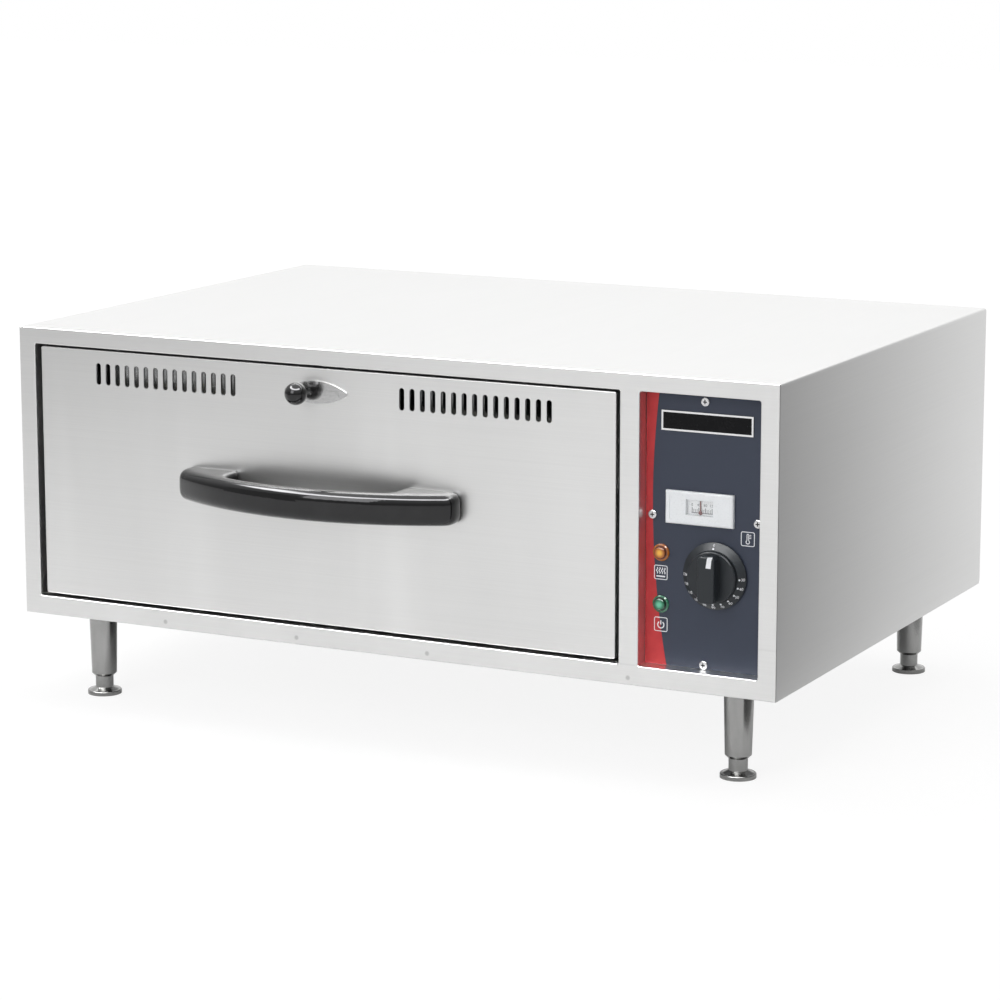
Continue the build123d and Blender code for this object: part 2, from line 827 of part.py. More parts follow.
def thermometer_needle():
    """Pointer with its hub and spindle, between the dial and the window."""
    dial_front = overlay_y - meter_proud + meter_well_d - meter_dial_t
    y1 = dial_front - needle_t
    y0 = y1 - needle_t
    blade = block(meter_cx - needle_w / 2, meter_cx + needle_w / 2, y0, y1, pivot_z, pivot_z + needle_l)
    hub = rod_y(meter_cx, y0, y1, pivot_z, needle_hub_r)
    spindle = rod_y(meter_cx, y1, y1 + spindle_l, pivot_z, spindle_r)
    return blade + hub + spindle


def thermostat_body():
    """Capillary thermostat behind the panel, with its threaded bushing through the panel."""
    back = panel_y + panel_t
    half = body_w / 2
    case = block(dial_cx - half, dial_cx + half, back, back + body_d, dial_z - half, dial_z + half)
    case = fillet(case.edges().filter_by(Axis.Y), half / 8)
    case += rod_y(dial_cx, overlay_y - skirt_lift / 2, back, dial_z, bushing_r)
    bore = rod_y(dial_cx, overlay_y - body_d, back + body_d / 2, dial_z, shaft_r + shaft_gap)
    return case - bore


def shaft_outline(gap):
    """D-shaped section of the thermostat's shaft, grown by a gap."""
    disc = Circle(shaft_r + gap)
    size = 4 * shaft_r
    flat_z = shaft_r - shaft_flat + gap
    return disc - Pos(0, flat_z + size / 2) * Rectangle(size, size)


def thermostat_shaft():
    """Turning shaft: round in the bushing, with a flat where the knob sits."""
    back = panel_y + panel_t + body_d / 2 - shaft_end_gap
    root = overlay_y - skirt_lift
    shaft = rod_y(dial_cx, root, back, dial_z, shaft_r)
    return shaft + along_y(Pos(dial_cx, dial_z) * shaft_outline(0.0), overlay_y - shaft_reach, root)


def thermostat_knob():
    """Moulded knob: numbered skirt, round grip and a raised bar across it."""
    skirt_y = overlay_y - skirt_lift
    front = skirt_y - skirt_t - skirt_cone_t
    skirt = rod_y(dial_cx, skirt_y - skirt_t, skirt_y, dial_z, skirt_r)
    slope = Plane(origin=(dial_cx, skirt_y - skirt_t, dial_z), x_dir=(1, 0, 0), z_dir=(0, -1, 0))
    skirt += slope * Solid.make_cone(skirt_r, skirt_top_r, skirt_cone_t)
    grip = rod_y(dial_cx, front - grip_t, front, dial_z, grip_r)
    grip = chamfer(grip.edges().group_by(Axis.Y)[0], bar_edge_r / 2)
    reach = sqrt(grip_r ** 2 - (bar_w / 2) ** 2) - bar_edge_r / 2
    bar_y = front - grip_t - bar_t
    bar = block(dial_cx - bar_w / 2, dial_cx + bar_w / 2, bar_y, front - grip_t, dial_z - reach, dial_z + reach)
    bar = fillet(bar.edges().filter_by(Axis.Y), bar_w / 4)
    bar = fillet(bar.edges().group_by(Axis.Y)[0], bar_edge_r)
    bore = along_y(Pos(dial_cx, dial_z) * shaft_outline(shaft_gap), overlay_y - shaft_reach - shaft_gap, skirt_y)
    return skirt + grip + bar - bore


def pilot_lamp_bodies():
    """Two lamp holders that pass through the panel."""
    bodies = []
    for drop in (heat_lamp_drop, power_lamp_drop):
        bodies.append(rod_y(bay_x0 + lamp_x, overlay_y, overlay_y + lamp_body_d, open_z1 - drop, lamp_body_r))
    return Compound(bodies)


def lamp_lens(drop):
    """Coloured lens with a stepped rim and a domed middle."""
    x = bay_x0 + lamp_x
    z = open_z1 - drop
    rim = rod_y(x, overlay_y - lens_rim_t, overlay_y, z, lens_r)
    rim = chamfer(rim.edges().group_by(Axis.Y)[0], lens_rim_t / 2)
    top = overlay_y - lens_rim_t - lens_dome_t
    dome = rod_y(x, top, overlay_y - lens_rim_t, z, lens_dome_r)
    dome = fillet(dome.edges().group_by(Axis.Y)[0], lens_dome_t - lens_dome_step)
    return rim + dome


def capillary(start_y, x, z, wall_y):
    """Sensor tube from a control, through the walls, to a bulb along the cavity's side."""
    bulb_x = cavity_x1 - bulb_wall_gap - bulb_r
    bulb_y = wall_y + 2 * capillary_bend_r
    points = [(x, start_y, z), (x, wall_y, z), (bulb_x, wall_y, z), (bulb_x, bulb_y, z)]
    path = FilletPolyline(*points, radius=capillary_bend_r)
    section = Plane(origin=path @ 0, z_dir=path % 0) * Circle(capillary_r)
    return sweep(section, path) + rod_y(bulb_x, bulb_y, bulb_y + sensor_length, z, bulb_r)


def thermostat_capillary():
    """The thermostat's sensor."""
    return capillary(panel_y + panel_t + body_d, dial_cx, dial_z, front_y + thermostat_bulb_y)


def thermometer_capillary():
    """The thermometer's sensor."""
    return capillary(overlay_y + meter_body_d, meter_cx, meter_z, front_y + meter_bulb_y)


def terminal_block():
    """Screw terminals on two feet, on the floor of the control bay."""
    y1 = rear_y - block_setback
    y0 = y1 - block_d
    top = floor_z + block_h
    x0 = bay_cx - block_w / 2
    body = block(x0, x0 + block_w, y0, y1, floor_z, top)
    step = block_w / terminals
    for i in range(terminals):
        x = x0 + step * (i + 0.5)
        body -= rod_z(x, (y0 + y1) / 2, top - block_h / 2, top, terminal_r)
    for i in range(terminals - 1):
        x = x0 + step * (i + 1)
        body += block(x - clip_t / 2, x + clip_t / 2, y0, y1, top, top + block_post_w)
    return body


def cable_gland():
    """Threaded gland with its dome nut outside and its locknut inside; no cord is shown."""
    body = rod_y(bay_cx, rear_y - rear_t - gland_tail, rear_y, gland_z, gland_r)
    flange = Pos(bay_cx, gland_z) * RegularPolygon(gland_nut_r, 6)
    body += along_y(flange, rear_y, rear_y + gland_nut_t)
    dome = rod_y(bay_cx, rear_y + gland_nut_t, rear_y + gland_proud, gland_z, gland_r + gland_gap)
    dome = fillet(dome.edges().group_by(Axis.Y)[-1], gland_r / 3)
    body += dome
    bore = rod_y(bay_cx, rear_y - 2 * gland_tail, rear_y + 2 * gland_proud, gland_z, gland_bore_r)
    nut = along_y(Pos(bay_cx, gland_z) * RegularPolygon(gland_nut_r, 6),
                  rear_y - rear_t - locknut_t, rear_y - rear_t)
    nut -= rod_y(bay_cx, rear_y - 2 * gland_tail, rear_y, gland_z, gland_r + shaft_gap)
    return Compound([body - bore, nut])


def leg(x, y):
    """Tapered tubular leg with a threaded stud on top and a socket for its foot."""
    z0 = leg_clear
    tube = Pos(x, y, z0) * Solid.make_cone(leg_end_r, leg_top_r, leg_top_z - z0)
    tube = chamfer(tube.edges().group_by(Axis.Z)[0], leg_chamfer)
    tube += rod_z(x, y, leg_top_z, leg_top_z + stud_l, stud_r)
    socket_top = foot_t + foot_cone_t + neck_l + neck_end_gap
    return tube - rod_z(x, y, z0, socket_top, neck_r + neck_gap)


def leg_nuts():
    """Hexagon nuts on the legs' studs, on the cabinet floor."""
    nuts = []
    for _, x, y in leg_places():
        blank = extrude(Pos(x, y, floor_z) * RegularPolygon(nut_r, 6), amount=nut_t)
        nuts.append(blank - rod_z(x, y, floor_z, floor_z + nut_t, stud_r + shaft_gap))
    return Compound(nuts)


def foot(x, y):
    """Levelling foot: round pad, coned top and a neck that screws up the leg."""
    pad = rod_z(x, y, 0, foot_t, foot_r)
    pad = fillet(pad.edges().group_by(Axis.Z)[-1], foot_edge_r)
    cone = Pos(x, y, foot_t) * Solid.make_cone(foot_r - 2 * foot_edge_r, neck_r, foot_cone_t)
    return pad + cone + rod_z(x, y, foot_t + foot_cone_t, foot_t + foot_cone_t + neck_l, neck_r)


def drawer_front_skin():
    """Outer pan of the drawer front, slotted for the vents and the shutter's stem."""
    outline = rect(face_x0, face_x1, face_z0, face_z1, skin_corner_r)
    shell = along_y(outline, face_y, skin_back_y)
    shell = fillet(shell.edges().group_by(Axis.Y)[0], skin_bend_r)
    hollow = rect(face_x0 + skin_t, face_x1 - skin_t, face_z0 + skin_t, face_z1 - skin_t)
    shell -= along_y(hollow, face_y + skin_t, skin_back_y)
    cuts = vent_slots() + stem_slot(2 * stem_gap)
    for x in handle_screw_places():
        cuts += Pos(x, handle_z) * Circle(handle_screw_r + stem_gap / 2)
    return shell - along_y(cuts, face_y - skin_t, face_y + 2 * skin_t)


def drawer_inner_plate():
    """Back plate of the drawer front, slotted where the vents pass into the drawer."""
    inset = inner_plate_inset
    sheet = rect(face_x0 + inset, face_x1 - inset, face_z0 + inset, face_z1 - inset, skin_corner_r)
    return along_y(sheet - vent_slots(), skin_back_y, carrier_y0)


def drawer_front_insulation():
    """Mineral-wool board inside the drawer front, below the vent plenum."""
    gap = soft_gap
    t = skin_t + gap
    y0 = face_y + t
    board = block(face_x0 + t, face_x1 - t, y0, skin_back_y - gap, face_z0 + t, face_z1 - plenum_h)
    for x in handle_screw_places():
        board -= rod_y(x, y0 - gap, skin_back_y, handle_z, 2 * handle_screw_r + 2 * gap)
    return board


def vent_plate():
    """Leaf-shaped escutcheon round the shutter's stem."""
    half = vent_plate_w / 2
    rise = vent_plate_h / 2
    upper = ThreePointArc((-half, 0), (0, rise), (half, 0))
    lower = ThreePointArc((half, 0), (0, -rise), (-half, 0))
    leaf = make_face(upper + lower)
    leaf = fillet(leaf.vertices(), vent_plate_tip_r)
    leaf = Pos(drawer_cx, vent_z) * leaf - stem_slot(stem_gap)
    return along_y(leaf, face_y - vent_plate_t, face_y)


def shutter_span():
    """X of the shutter's two ends at rest."""
    reach = slot_group_start + slot_pitch * (slots_per_group - 1) + slot_w / 2 + shutter_margin
    return drawer_cx - reach, drawer_cx + reach


def vent_shutter():
    """Sliding slotted strip behind the drawer front's vents."""
    x0, x1 = shutter_span()
    y0 = face_y + skin_t + shutter_gap
    sheet = rect(x0, x1, vent_z - shutter_h / 2, vent_z + shutter_h / 2) - vent_slots()
    sheet -= Pos(drawer_cx - knob_offset, vent_z) * Circle(stem_tip_r)
    return along_y(sheet, y0, y0 + shutter_t)


def shutter_guides():
    """Two folded strips, above and below, that hold the shutter against the front."""
    x0, x1 = shutter_span()
    x1 += slot_pitch / 2
    back_y = face_y + skin_t
    lip_y = back_y + shutter_t + 2 * shutter_gap
    guides = []
    for side in (-1, 1):
        edge = vent_z + side * (shutter_h / 2 + shutter_gap)
        guide = block(x0, x1, back_y, lip_y, edge, edge + side * (guide_w - guide_lap))
        guide += block(x0, x1, lip_y, lip_y + guide_t, edge - side * guide_lap,
                       edge + side * (guide_w - guide_lap))
        guides.append(guide)
    return Compound(guides)


def vent_knob():
    """Ball knob on its stem, riveted through the shutter."""
    x = drawer_cx - knob_offset
    shutter_y = face_y + skin_t + shutter_gap
    ball = Pos(x, face_y - ball_reach, vent_z) * Sphere(ball_r)
    stem = rod_y(x, face_y - ball_reach, shutter_y, vent_z, stem_r)
    return ball + stem + rod_y(x, shutter_y, shutter_y + shutter_t, vent_z, stem_tip_r)


def handle():
    """Bow handle: a flat rounded bar of even thickness on two broad feet."""
    half = handle_w / 2
    inner = half - handle_foot_w
    rise = handle_foot_rise
    bar_in = handle_reach - handle_bar_t
    sagitta = handle_reach - rise
    bow_r = (half ** 2 + sagitta ** 2) / (2 * sagitta)
    wall_y = bow_r - handle_reach - sqrt((bow_r - handle_bar_t) ** 2 - inner ** 2)
    outline = ThreePointArc((-half, -rise), (0, -handle_reach), (half, -rise))
    outline += Polyline((half, -rise), (half, 0), (inner, 0), (inner, wall_y))
    outline += ThreePointArc((inner, wall_y), (0, -bar_in), (-inner, wall_y))
    outline += Polyline((-inner, wall_y), (-inner, 0), (-half, 0), (-half, -rise))
    corners = make_face(outline).vertices()
    plan = fillet(corners.filter_by(lambda v: abs(v.X) > inner + handle_inner_r and v.Y < -rise / 2), handle_shoulder_r)
    inside = plan.vertices().filter_by(lambda v: abs(v.X) < inner + handle_inner_r and v.Y < -rise)
    plan = fillet(inside, handle_inner_r)
    bar = extrude(Pos(0, 0, -handle_h / 2) * plan, amount=handle_h)
    front_r = min(handle_front_r, handle_bar_t - handle_back_r - handle_flat)
    bar = fillet(handle_rim(bar).filter_by(lambda e: outward(e, inner, bar_in)), front_r)
    finger_side = handle_rim(bar).filter_by(lambda e: not outward(e, inner, bar_in))
    bar = fillet(finger_side, handle_back_r)
    bar = Pos(handle_cx, face_y, handle_z) * bar
    for x in handle_screw_places():
        bar -= rod_y(x, face_y - handle_screw_depth, face_y, handle_z, handle_screw_r)
    return bar


def handle_rim(bar):
    """The edges round the handle's top and bottom, off its seat on the drawer front."""
    rim = bar.edges().filter_by(lambda e: abs(abs((e @ 0.5).Z) - handle_h / 2) < rim_tolerance)
    return rim.filter_by(lambda e: (e @ 0.5).Y < -rim_tolerance)


def outward(edge, inner, bar_in):
    """Whether a rim edge of the handle faces away from the fingers."""
    middle = edge @ 0.5
    return abs(middle.X) > inner + rim_tolerance or middle.Y < -bar_in - rim_tolerance


def handle_screws():
    """Two screws from inside the drawer front into the handle's feet."""
    screws = []
    back = face_y + skin_t
    for x in handle_screw_places():
        shank = rod_y(x, back - handle_screw_depth, back, handle_z, handle_screw_r)
        head = rod_y(x, back, back + handle_screw_r, handle_z, 2 * handle_screw_r)
        screws.append(shank + head)
    return Compound(screws)


def pan_outline(inset):
    """Plan of the food pan's rim, drawn in by an inset."""
    r = pan_rim_r - inset
    return RectangleRounded(pan_w - 2 * inset, pan_d - 2 * inset, r)


def drawer_carrier():
    """Folded frame behind the drawer front that carries the pan and the runners."""
    t = carrier_t
    z0 = rim_z - carrier_front_h
    frame = block(carrier_x0, carrier_x1, carrier_y0, carrier_y1, z0, rim_z)
    frame -= block(carrier_x0 + t, carrier_x1 - t, carrier_y0 + t, carrier_y1 - t, z0, rim_z - t)
    well = extrude(Pos(drawer_cx, pan_cy, rim_z - 2 * t) * pan_outline(pan_rim_w - pan_gap), amount=4 * t)
    frame -= well
    side_z = rim_z - carrier_side_h
    profile = Polyline((carrier_y0 + t, z0), (carrier_y0 + gusset_d, z0), (carrier_y0 + 2 * gusset_d, side_z),
                       (carrier_y1, side_z), (carrier_y1, z0 - t), (carrier_y0 + t, z0 - t), close=True)
    return frame - along_x(make_face(profile), carrier_x0, carrier_x1)


def food_pan():
    """Deep pan with a flat rim and drawn corners, hung in the carrier."""
    rim = extrude(Pos(drawer_cx, pan_cy, rim_z) * pan_outline(0.0), amount=pan_t)
    top = Pos(drawer_cx, pan_cy, rim_z + pan_t)
    outer = extrude(top * pan_outline(pan_rim_w), amount=-pan_h, taper=pan_taper)
    inner = extrude(top * pan_outline(pan_rim_w + pan_t), amount=pan_t - pan_h, taper=pan_taper)
    outer = fillet(outer.edges().group_by(Axis.Z)[0], pan_floor_r)
    inner = fillet(inner.edges().group_by(Axis.Z)[0], pan_floor_r - pan_t)
    return rim + outer - inner


def write(name, shape):
    """Write one sub-part under its own name."""
    export_step(shape, f"parts/{name}.step")


write("outer_wrap", outer_wrap())
write("face_frame", face_frame())
write("base_pan", base_pan())
write("rear_panel", rear_panel())
write("rear_panel_screws", rear_panel_screws())
write("cavity_liner", cavity_liner())
write("insulation_blanket", insulation_blanket())
write("insulation_base", insulation_base())
write("insulation_rear", insulation_rear())
write("bay_wall", bay_wall())
write("rail_rivets", rail_rivets())
write("heating_element", heating_element())
write("element_clips", element_clips())
write("control_panel", control_panel())
write("panel_overlay", panel_overlay())
write("nameplate_blank", nameplate_blank())
write("panel_screws", panel_screws())
write("thermometer_case", thermometer_case())
write("thermometer_dial", thermometer_dial())
write("thermometer_window", thermometer_window())
write("thermometer_needle", thermometer_needle())
write("thermometer_capillary", thermometer_capillary())
write("thermostat_body", thermostat_body())
write("thermostat_shaft", thermostat_shaft())
write("thermostat_knob", thermostat_knob())
write("thermostat_capillary", thermostat_capillary())
write("pilot_lamp_bodies", pilot_lamp_bodies())
write("heat_lamp_lens", lamp_lens(heat_lamp_drop))
write("power_lamp_lens", lamp_lens(power_lamp_drop))
write("terminal_block", terminal_block())
write("cable_gland", cable_gland())
write("leg_nuts", leg_nuts())
for leg_name, leg_x, leg_y in leg_places():
    write(f"leg_{leg_name}", leg(leg_x, leg_y))
    write(f"foot_{leg_name}", foot(leg_x, leg_y))
for side_name, side in (("left", -1), ("right", 1)):
    write(f"slide_rail_{side_name}", slide_rail(side))
    write(f"slide_runner_{side_name}", slide_runner(side))
    write(f"rail_roller_{side_name}", roller(side, front_pin_y, roller_b))
    write(f"runner_roller_{side_name}", roller(side, rear_pin_y, roller_a))
write("drawer_front_skin", drawer_front_skin())
write("drawer_inner_plate", drawer_inner_plate())
write("drawer_front_insulation", drawer_front_insulation())
write("vent_plate", vent_plate())
write("vent_shutter", vent_shutter())
write("shutter_guides", shutter_guides())
write("vent_knob", vent_knob())
write("handle", handle())
write("handle_screws", handle_screws())
write("drawer_carrier", drawer_carrier())
write("food_pan", food_pan())
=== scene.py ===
"""Looks of a countertop warming drawer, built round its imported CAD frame."""
from math import cos, pi, radians, sin
import bmesh
import bpy
from mathutils import Matrix, Vector


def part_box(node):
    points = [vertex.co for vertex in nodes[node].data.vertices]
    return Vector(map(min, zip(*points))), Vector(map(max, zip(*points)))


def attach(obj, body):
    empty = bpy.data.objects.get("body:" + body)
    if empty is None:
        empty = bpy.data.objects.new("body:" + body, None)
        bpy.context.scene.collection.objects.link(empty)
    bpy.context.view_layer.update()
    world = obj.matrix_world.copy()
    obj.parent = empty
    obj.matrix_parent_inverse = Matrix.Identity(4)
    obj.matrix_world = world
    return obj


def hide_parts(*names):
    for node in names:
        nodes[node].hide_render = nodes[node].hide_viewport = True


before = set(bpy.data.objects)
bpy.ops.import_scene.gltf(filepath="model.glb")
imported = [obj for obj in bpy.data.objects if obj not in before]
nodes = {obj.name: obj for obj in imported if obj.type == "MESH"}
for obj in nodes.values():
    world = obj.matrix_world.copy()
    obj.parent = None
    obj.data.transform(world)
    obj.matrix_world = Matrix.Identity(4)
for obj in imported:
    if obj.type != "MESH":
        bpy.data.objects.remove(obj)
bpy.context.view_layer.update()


# ---- Studio: floor, room, soft lamps, gloss cards and the camera ----
# The room is white to the camera and grey as light. Gloss and clear parts see it dim
# towards the horizon, white behind and crossed high in front by one narrow bright
# hoop, as from a row of strip lamps. Three upright cards show in polished parts alone.
scene = bpy.context.scene
scene.view_settings.view_transform = "Standard"
front_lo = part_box("face_frame")[0]
white = (1, 1, 1, 1)


def joined(tree, kind, inputs=(), **settings):
    """A shader node with its settings, and its inputs set to values or wired to sockets."""
    made = tree.nodes.new(kind)
    for name, value in settings.items():
        setattr(made, name, value)
    for name, value in dict(inputs).items():
        if isinstance(value, bpy.types.NodeSocket):
            tree.links.new(value, made.inputs[name])
        else:
            made.inputs[name].default_value = value
    return made


def sum_of(tree, operation, a, b=0.0, c=0.0):
    """One step of arithmetic on sockets or numbers."""
    return joined(tree, "ShaderNodeMath", {0: a, 1: b, 2: c}, operation=operation).outputs[0]


def ramp(tree, value, start, end, low=0.0, high=1.0, curve="LINEAR"):
    """A value read against a range: low at its start, high at its end, held beyond them."""
    reading = {"Value": value, "From Min": start, "From Max": end, "To Min": low, "To Max": high}
    return joined(tree, "ShaderNodeMapRange", reading, interpolation_type=curve).outputs[0]


def own_place(tree):
    """Where a point is on the object itself."""
    return joined(tree, "ShaderNodeTexCoord").outputs["Object"]


def parted(tree, vector):
    """The X, Y and Z of a vector."""
    return joined(tree, "ShaderNodeSeparateXYZ", {"Vector": vector}).outputs


def seen_directly(tree):
    """Two parts, each 0 or 1: the camera's own rays, and those that come by gloss or clear parts."""
    rays = joined(tree, "ShaderNodeLightPath").outputs
    by_gloss = sum_of(tree, "MAXIMUM", rays["Is Glossy Ray"], rays["Is Transmission Ray"])
    return rays["Is Camera Ray"], by_gloss


def either(tree, part, first, second):
    """The first shader where part is 0 and the second where it is 1."""
    return joined(tree, "ShaderNodeMixShader", {0: part, 1: first, 2: second}).outputs[0]


room_light = 0.55
horizon_level, zenith_level, zenith_from = 0.40, 1.0, 0.7
rear_level, rear_start, rear_full = 0.96, -0.2, 0.5
hoop_level = 18.0
hoop_foot = (0.68, 0.76)
hoop_head = (0.90, 0.82)
hoop_rear = (0.15, -0.1)

room = bpy.data.worlds.new("white_room")
scene.world = room
room.use_nodes = True
room_tree = room.node_tree
room_tree.nodes.clear()
camera_ray, gloss_ray = seen_directly(room_tree)
room_way = parted(room_tree, joined(room_tree, "ShaderNodeTexCoord").outputs["Generated"])
room_band = ramp(room_tree, room_way["Z"], 0.0, zenith_from, horizon_level, zenith_level, "SMOOTHSTEP")
room_back = ramp(room_tree, room_way["Y"], rear_start, rear_full, 0.0, rear_level, "SMOOTHSTEP")
room_hoop = hoop_level
for axis, (start, end) in (("Z", hoop_foot), ("Z", hoop_head), ("Y", hoop_rear)):
    hoop_side = ramp(room_tree, room_way[axis], start, end, curve="SMOOTHSTEP")
    room_hoop = sum_of(room_tree, "MULTIPLY", room_hoop, hoop_side)
room_level = sum_of(room_tree, "MAXIMUM", sum_of(room_tree, "MAXIMUM", room_band, room_back), room_hoop)
room_faces = [joined(room_tree, "ShaderNodeBackground", {"Color": white, "Strength": strength}).outputs[0]
              for strength in (room_light, room_level, 1.0)]
room_lit = either(room_tree, gloss_ray, room_faces[0], room_faces[1])
room_shown = either(room_tree, camera_ray, room_lit, room_faces[2])
joined(room_tree, "ShaderNodeOutputWorld", {"Surface": room_shown})

# The floor fades to white away from the cabinet, and polished parts see it dark
# under the cabinet and brighter beyond it.
floor_half = 9.0
floor_grey = 0.90
floor_glow = 1.04
floor_near_share, floor_fade_start, floor_fade_end = 0.84, 0.7, 2.4
floor_shine = 0.5
shade_half_w, shade_half_d = 0.36, 0.24
shade_inside, shade_outside = -0.06, 0.14

floor_mesh = bpy.data.meshes.new("floor")
floor_corners = [(x * floor_half, y * floor_half, 0) for x, y in ((-1, -1), (1, -1), (1, 1), (-1, 1))]
floor_mesh.from_pydata(floor_corners, [], [(0, 1, 2, 3)])
floor = bpy.data.objects.new("floor", floor_mesh)
scene.collection.objects.link(floor)
floor_paint = bpy.data.materials.new("white_floor")
floor_paint.use_nodes = True
floor_tree = floor_paint.node_tree
floor_tree.nodes.clear()
floor_ray, floor_gloss = seen_directly(floor_tree)
floor_place = own_place(floor_tree)
floor_away = joined(floor_tree, "ShaderNodeVectorMath", {0: floor_place}, operation="LENGTH")
floor_fade = ramp(floor_tree, floor_away.outputs["Value"], floor_fade_start, floor_fade_end,
                  floor_near_share, 1.0, "SMOOTHSTEP")
floor_spread = parted(floor_tree, floor_place)
floor_past = [sum_of(floor_tree, "SUBTRACT", sum_of(floor_tree, "ABSOLUTE", floor_spread[axis]), half)
              for axis, half in (("X", shade_half_w), ("Y", shade_half_d))]
floor_open = ramp(floor_tree, sum_of(floor_tree, "MAXIMUM", *floor_past), shade_inside, shade_outside,
                  0.0, floor_shine)
floor_part = sum_of(floor_tree, "MAXIMUM", sum_of(floor_tree, "MULTIPLY", floor_ray, floor_fade),
                    sum_of(floor_tree, "MULTIPLY", floor_gloss, floor_open))
floor_matt = joined(floor_tree, "ShaderNodeBsdfDiffuse", {"Color": (floor_grey, floor_grey, floor_grey, 1)})
floor_lit = joined(floor_tree, "ShaderNodeEmission", {"Color": white, "Strength": floor_glow})
floor_shown = either(floor_tree, floor_part, floor_matt.outputs[0], floor_lit.outputs[0])
joined(floor_tree, "ShaderNodeOutputMaterial", {"Surface": floor_shown})
floor_mesh.materials.append(floor_paint)


def soft_lamp(name, place, target, size, power):
    """A square softbox aimed at a point."""
    lamp = bpy.data.lights.new(name, "AREA")
    lamp.size = size
    lamp.energy = power
    holder = bpy.data.objects.new(name, lamp)
    holder.location = place
    holder.rotation_euler = (Vector(target) - Vector(place)).to_track_quat("-Z", "Y").to_euler()
    scene.collection.objects.link(holder)


soft_lamp("overhead_softbox", place=(-0.2, 0.3, 2.6), target=(0, 0, 0.2), size=3.6, power=40)
soft_lamp("front_softbox", place=(-0.6, -3.0, 1.7), target=(0, 0, 0.2), size=1.6, power=26)
soft_lamp("side_softbox", place=(2.4, 1.9, 0.9), target=(0.39, 0.2, 0.2), size=1.0, power=4)


def gloss_card(name, foot, height, near_level, far_level):
    """An upright grey card that only polished surfaces show; its grey runs evenly from end to end."""
    (xa, ya), (xb, yb) = foot
    mesh = bpy.data.meshes.new(name)
    mesh.from_pydata([(xa, ya, 0), (xb, yb, 0), (xb, yb, height), (xa, ya, height)], [], [(0, 1, 2, 3)])
    paint = bpy.data.materials.new(name)
    paint.use_nodes = True
    tree = paint.node_tree
    tree.nodes.clear()
    level = ramp(tree, parted(tree, own_place(tree))["Y"], ya, yb, near_level, far_level)
    glow = joined(tree, "ShaderNodeEmission", {"Color": white, "Strength": level})
    joined(tree, "ShaderNodeOutputMaterial", {"Surface": glow.outputs[0]})
    mesh.materials.append(paint)
    card = bpy.data.objects.new(name, mesh)
    card.visible_camera = False
    card.visible_diffuse = False
    card.visible_shadow = False
    card.visible_transmission = False
    scene.collection.objects.link(card)


gloss_card("side_card", foot=((0.50, -0.30), (0.50, 0.80)), height=0.6, near_level=0.07, far_level=0.93)
gloss_card("front_card", foot=((-2.4, -1.5), (-0.9, -1.9)), height=1.1, near_level=0.42, far_level=0.42)
# The card under the cabinet is painted shade: a near-black sheet that the legs and pan show where only the
# cabinet's shade lies.
gloss_card("painted_shade_card", foot=((-0.12, -0.21), (-0.12, 0.24)), height=0.08, near_level=0.03, far_level=0.03)

camera_turn = radians(26.68)
camera_rise = radians(10.41)
camera_roll = radians(0.03)
camera_from_corner = Vector((1.8539, -2.6278, 0.7325))
camera_data = bpy.data.cameras.new("photo_camera")
camera_data.sensor_width = 36.0
camera_data.lens = 120.73
camera_data.shift_x = -0.01694
camera_data.shift_y = -0.03824
camera = bpy.data.objects.new("photo_camera", camera_data)
back = Vector((sin(camera_turn) * cos(camera_rise), -cos(camera_turn) * cos(camera_rise), sin(camera_rise)))
level = (-back).cross(Vector((0, 0, 1))).normalized()
up = level.cross(-back)
across = cos(camera_roll) * level + sin(camera_roll) * up
upright = -sin(camera_roll) * level + cos(camera_roll) * up
turned = Matrix((across, upright, back)).transposed().to_4x4()
camera.matrix_world = Matrix.Translation(front_lo + camera_from_corner) @ turned
scene.collection.objects.link(camera)
scene.camera = camera


# ---- Outer wrap and rear panel ----
# One satin stainless sheet is folded over the top and both sides, its polish
# running from front to back. The rear panel is the same sheet, screwed on.
def add_sockets(group, way, kinds):
    """Give a node group its named inputs or outputs."""
    for name, kind in kinds.items():
        group.interface.new_socket(name, in_out=way, socket_type="NodeSocket" + kind)


def noise(tree, place, scale, detail, roughness, distortion=0.0):
    """Smooth random value, 0 to 1, over a place."""
    look = {"Vector": place, "Scale": scale, "Detail": detail, "Roughness": roughness,
            "Distortion": distortion}
    return joined(tree, "ShaderNodeTexNoise", look).outputs["Fac"]


def scaled(tree, vector, factor):
    """A colour or vector times a factor."""
    return joined(tree, "ShaderNodeVectorMath", {0: vector, "Scale": factor}, operation="SCALE").outputs[0]


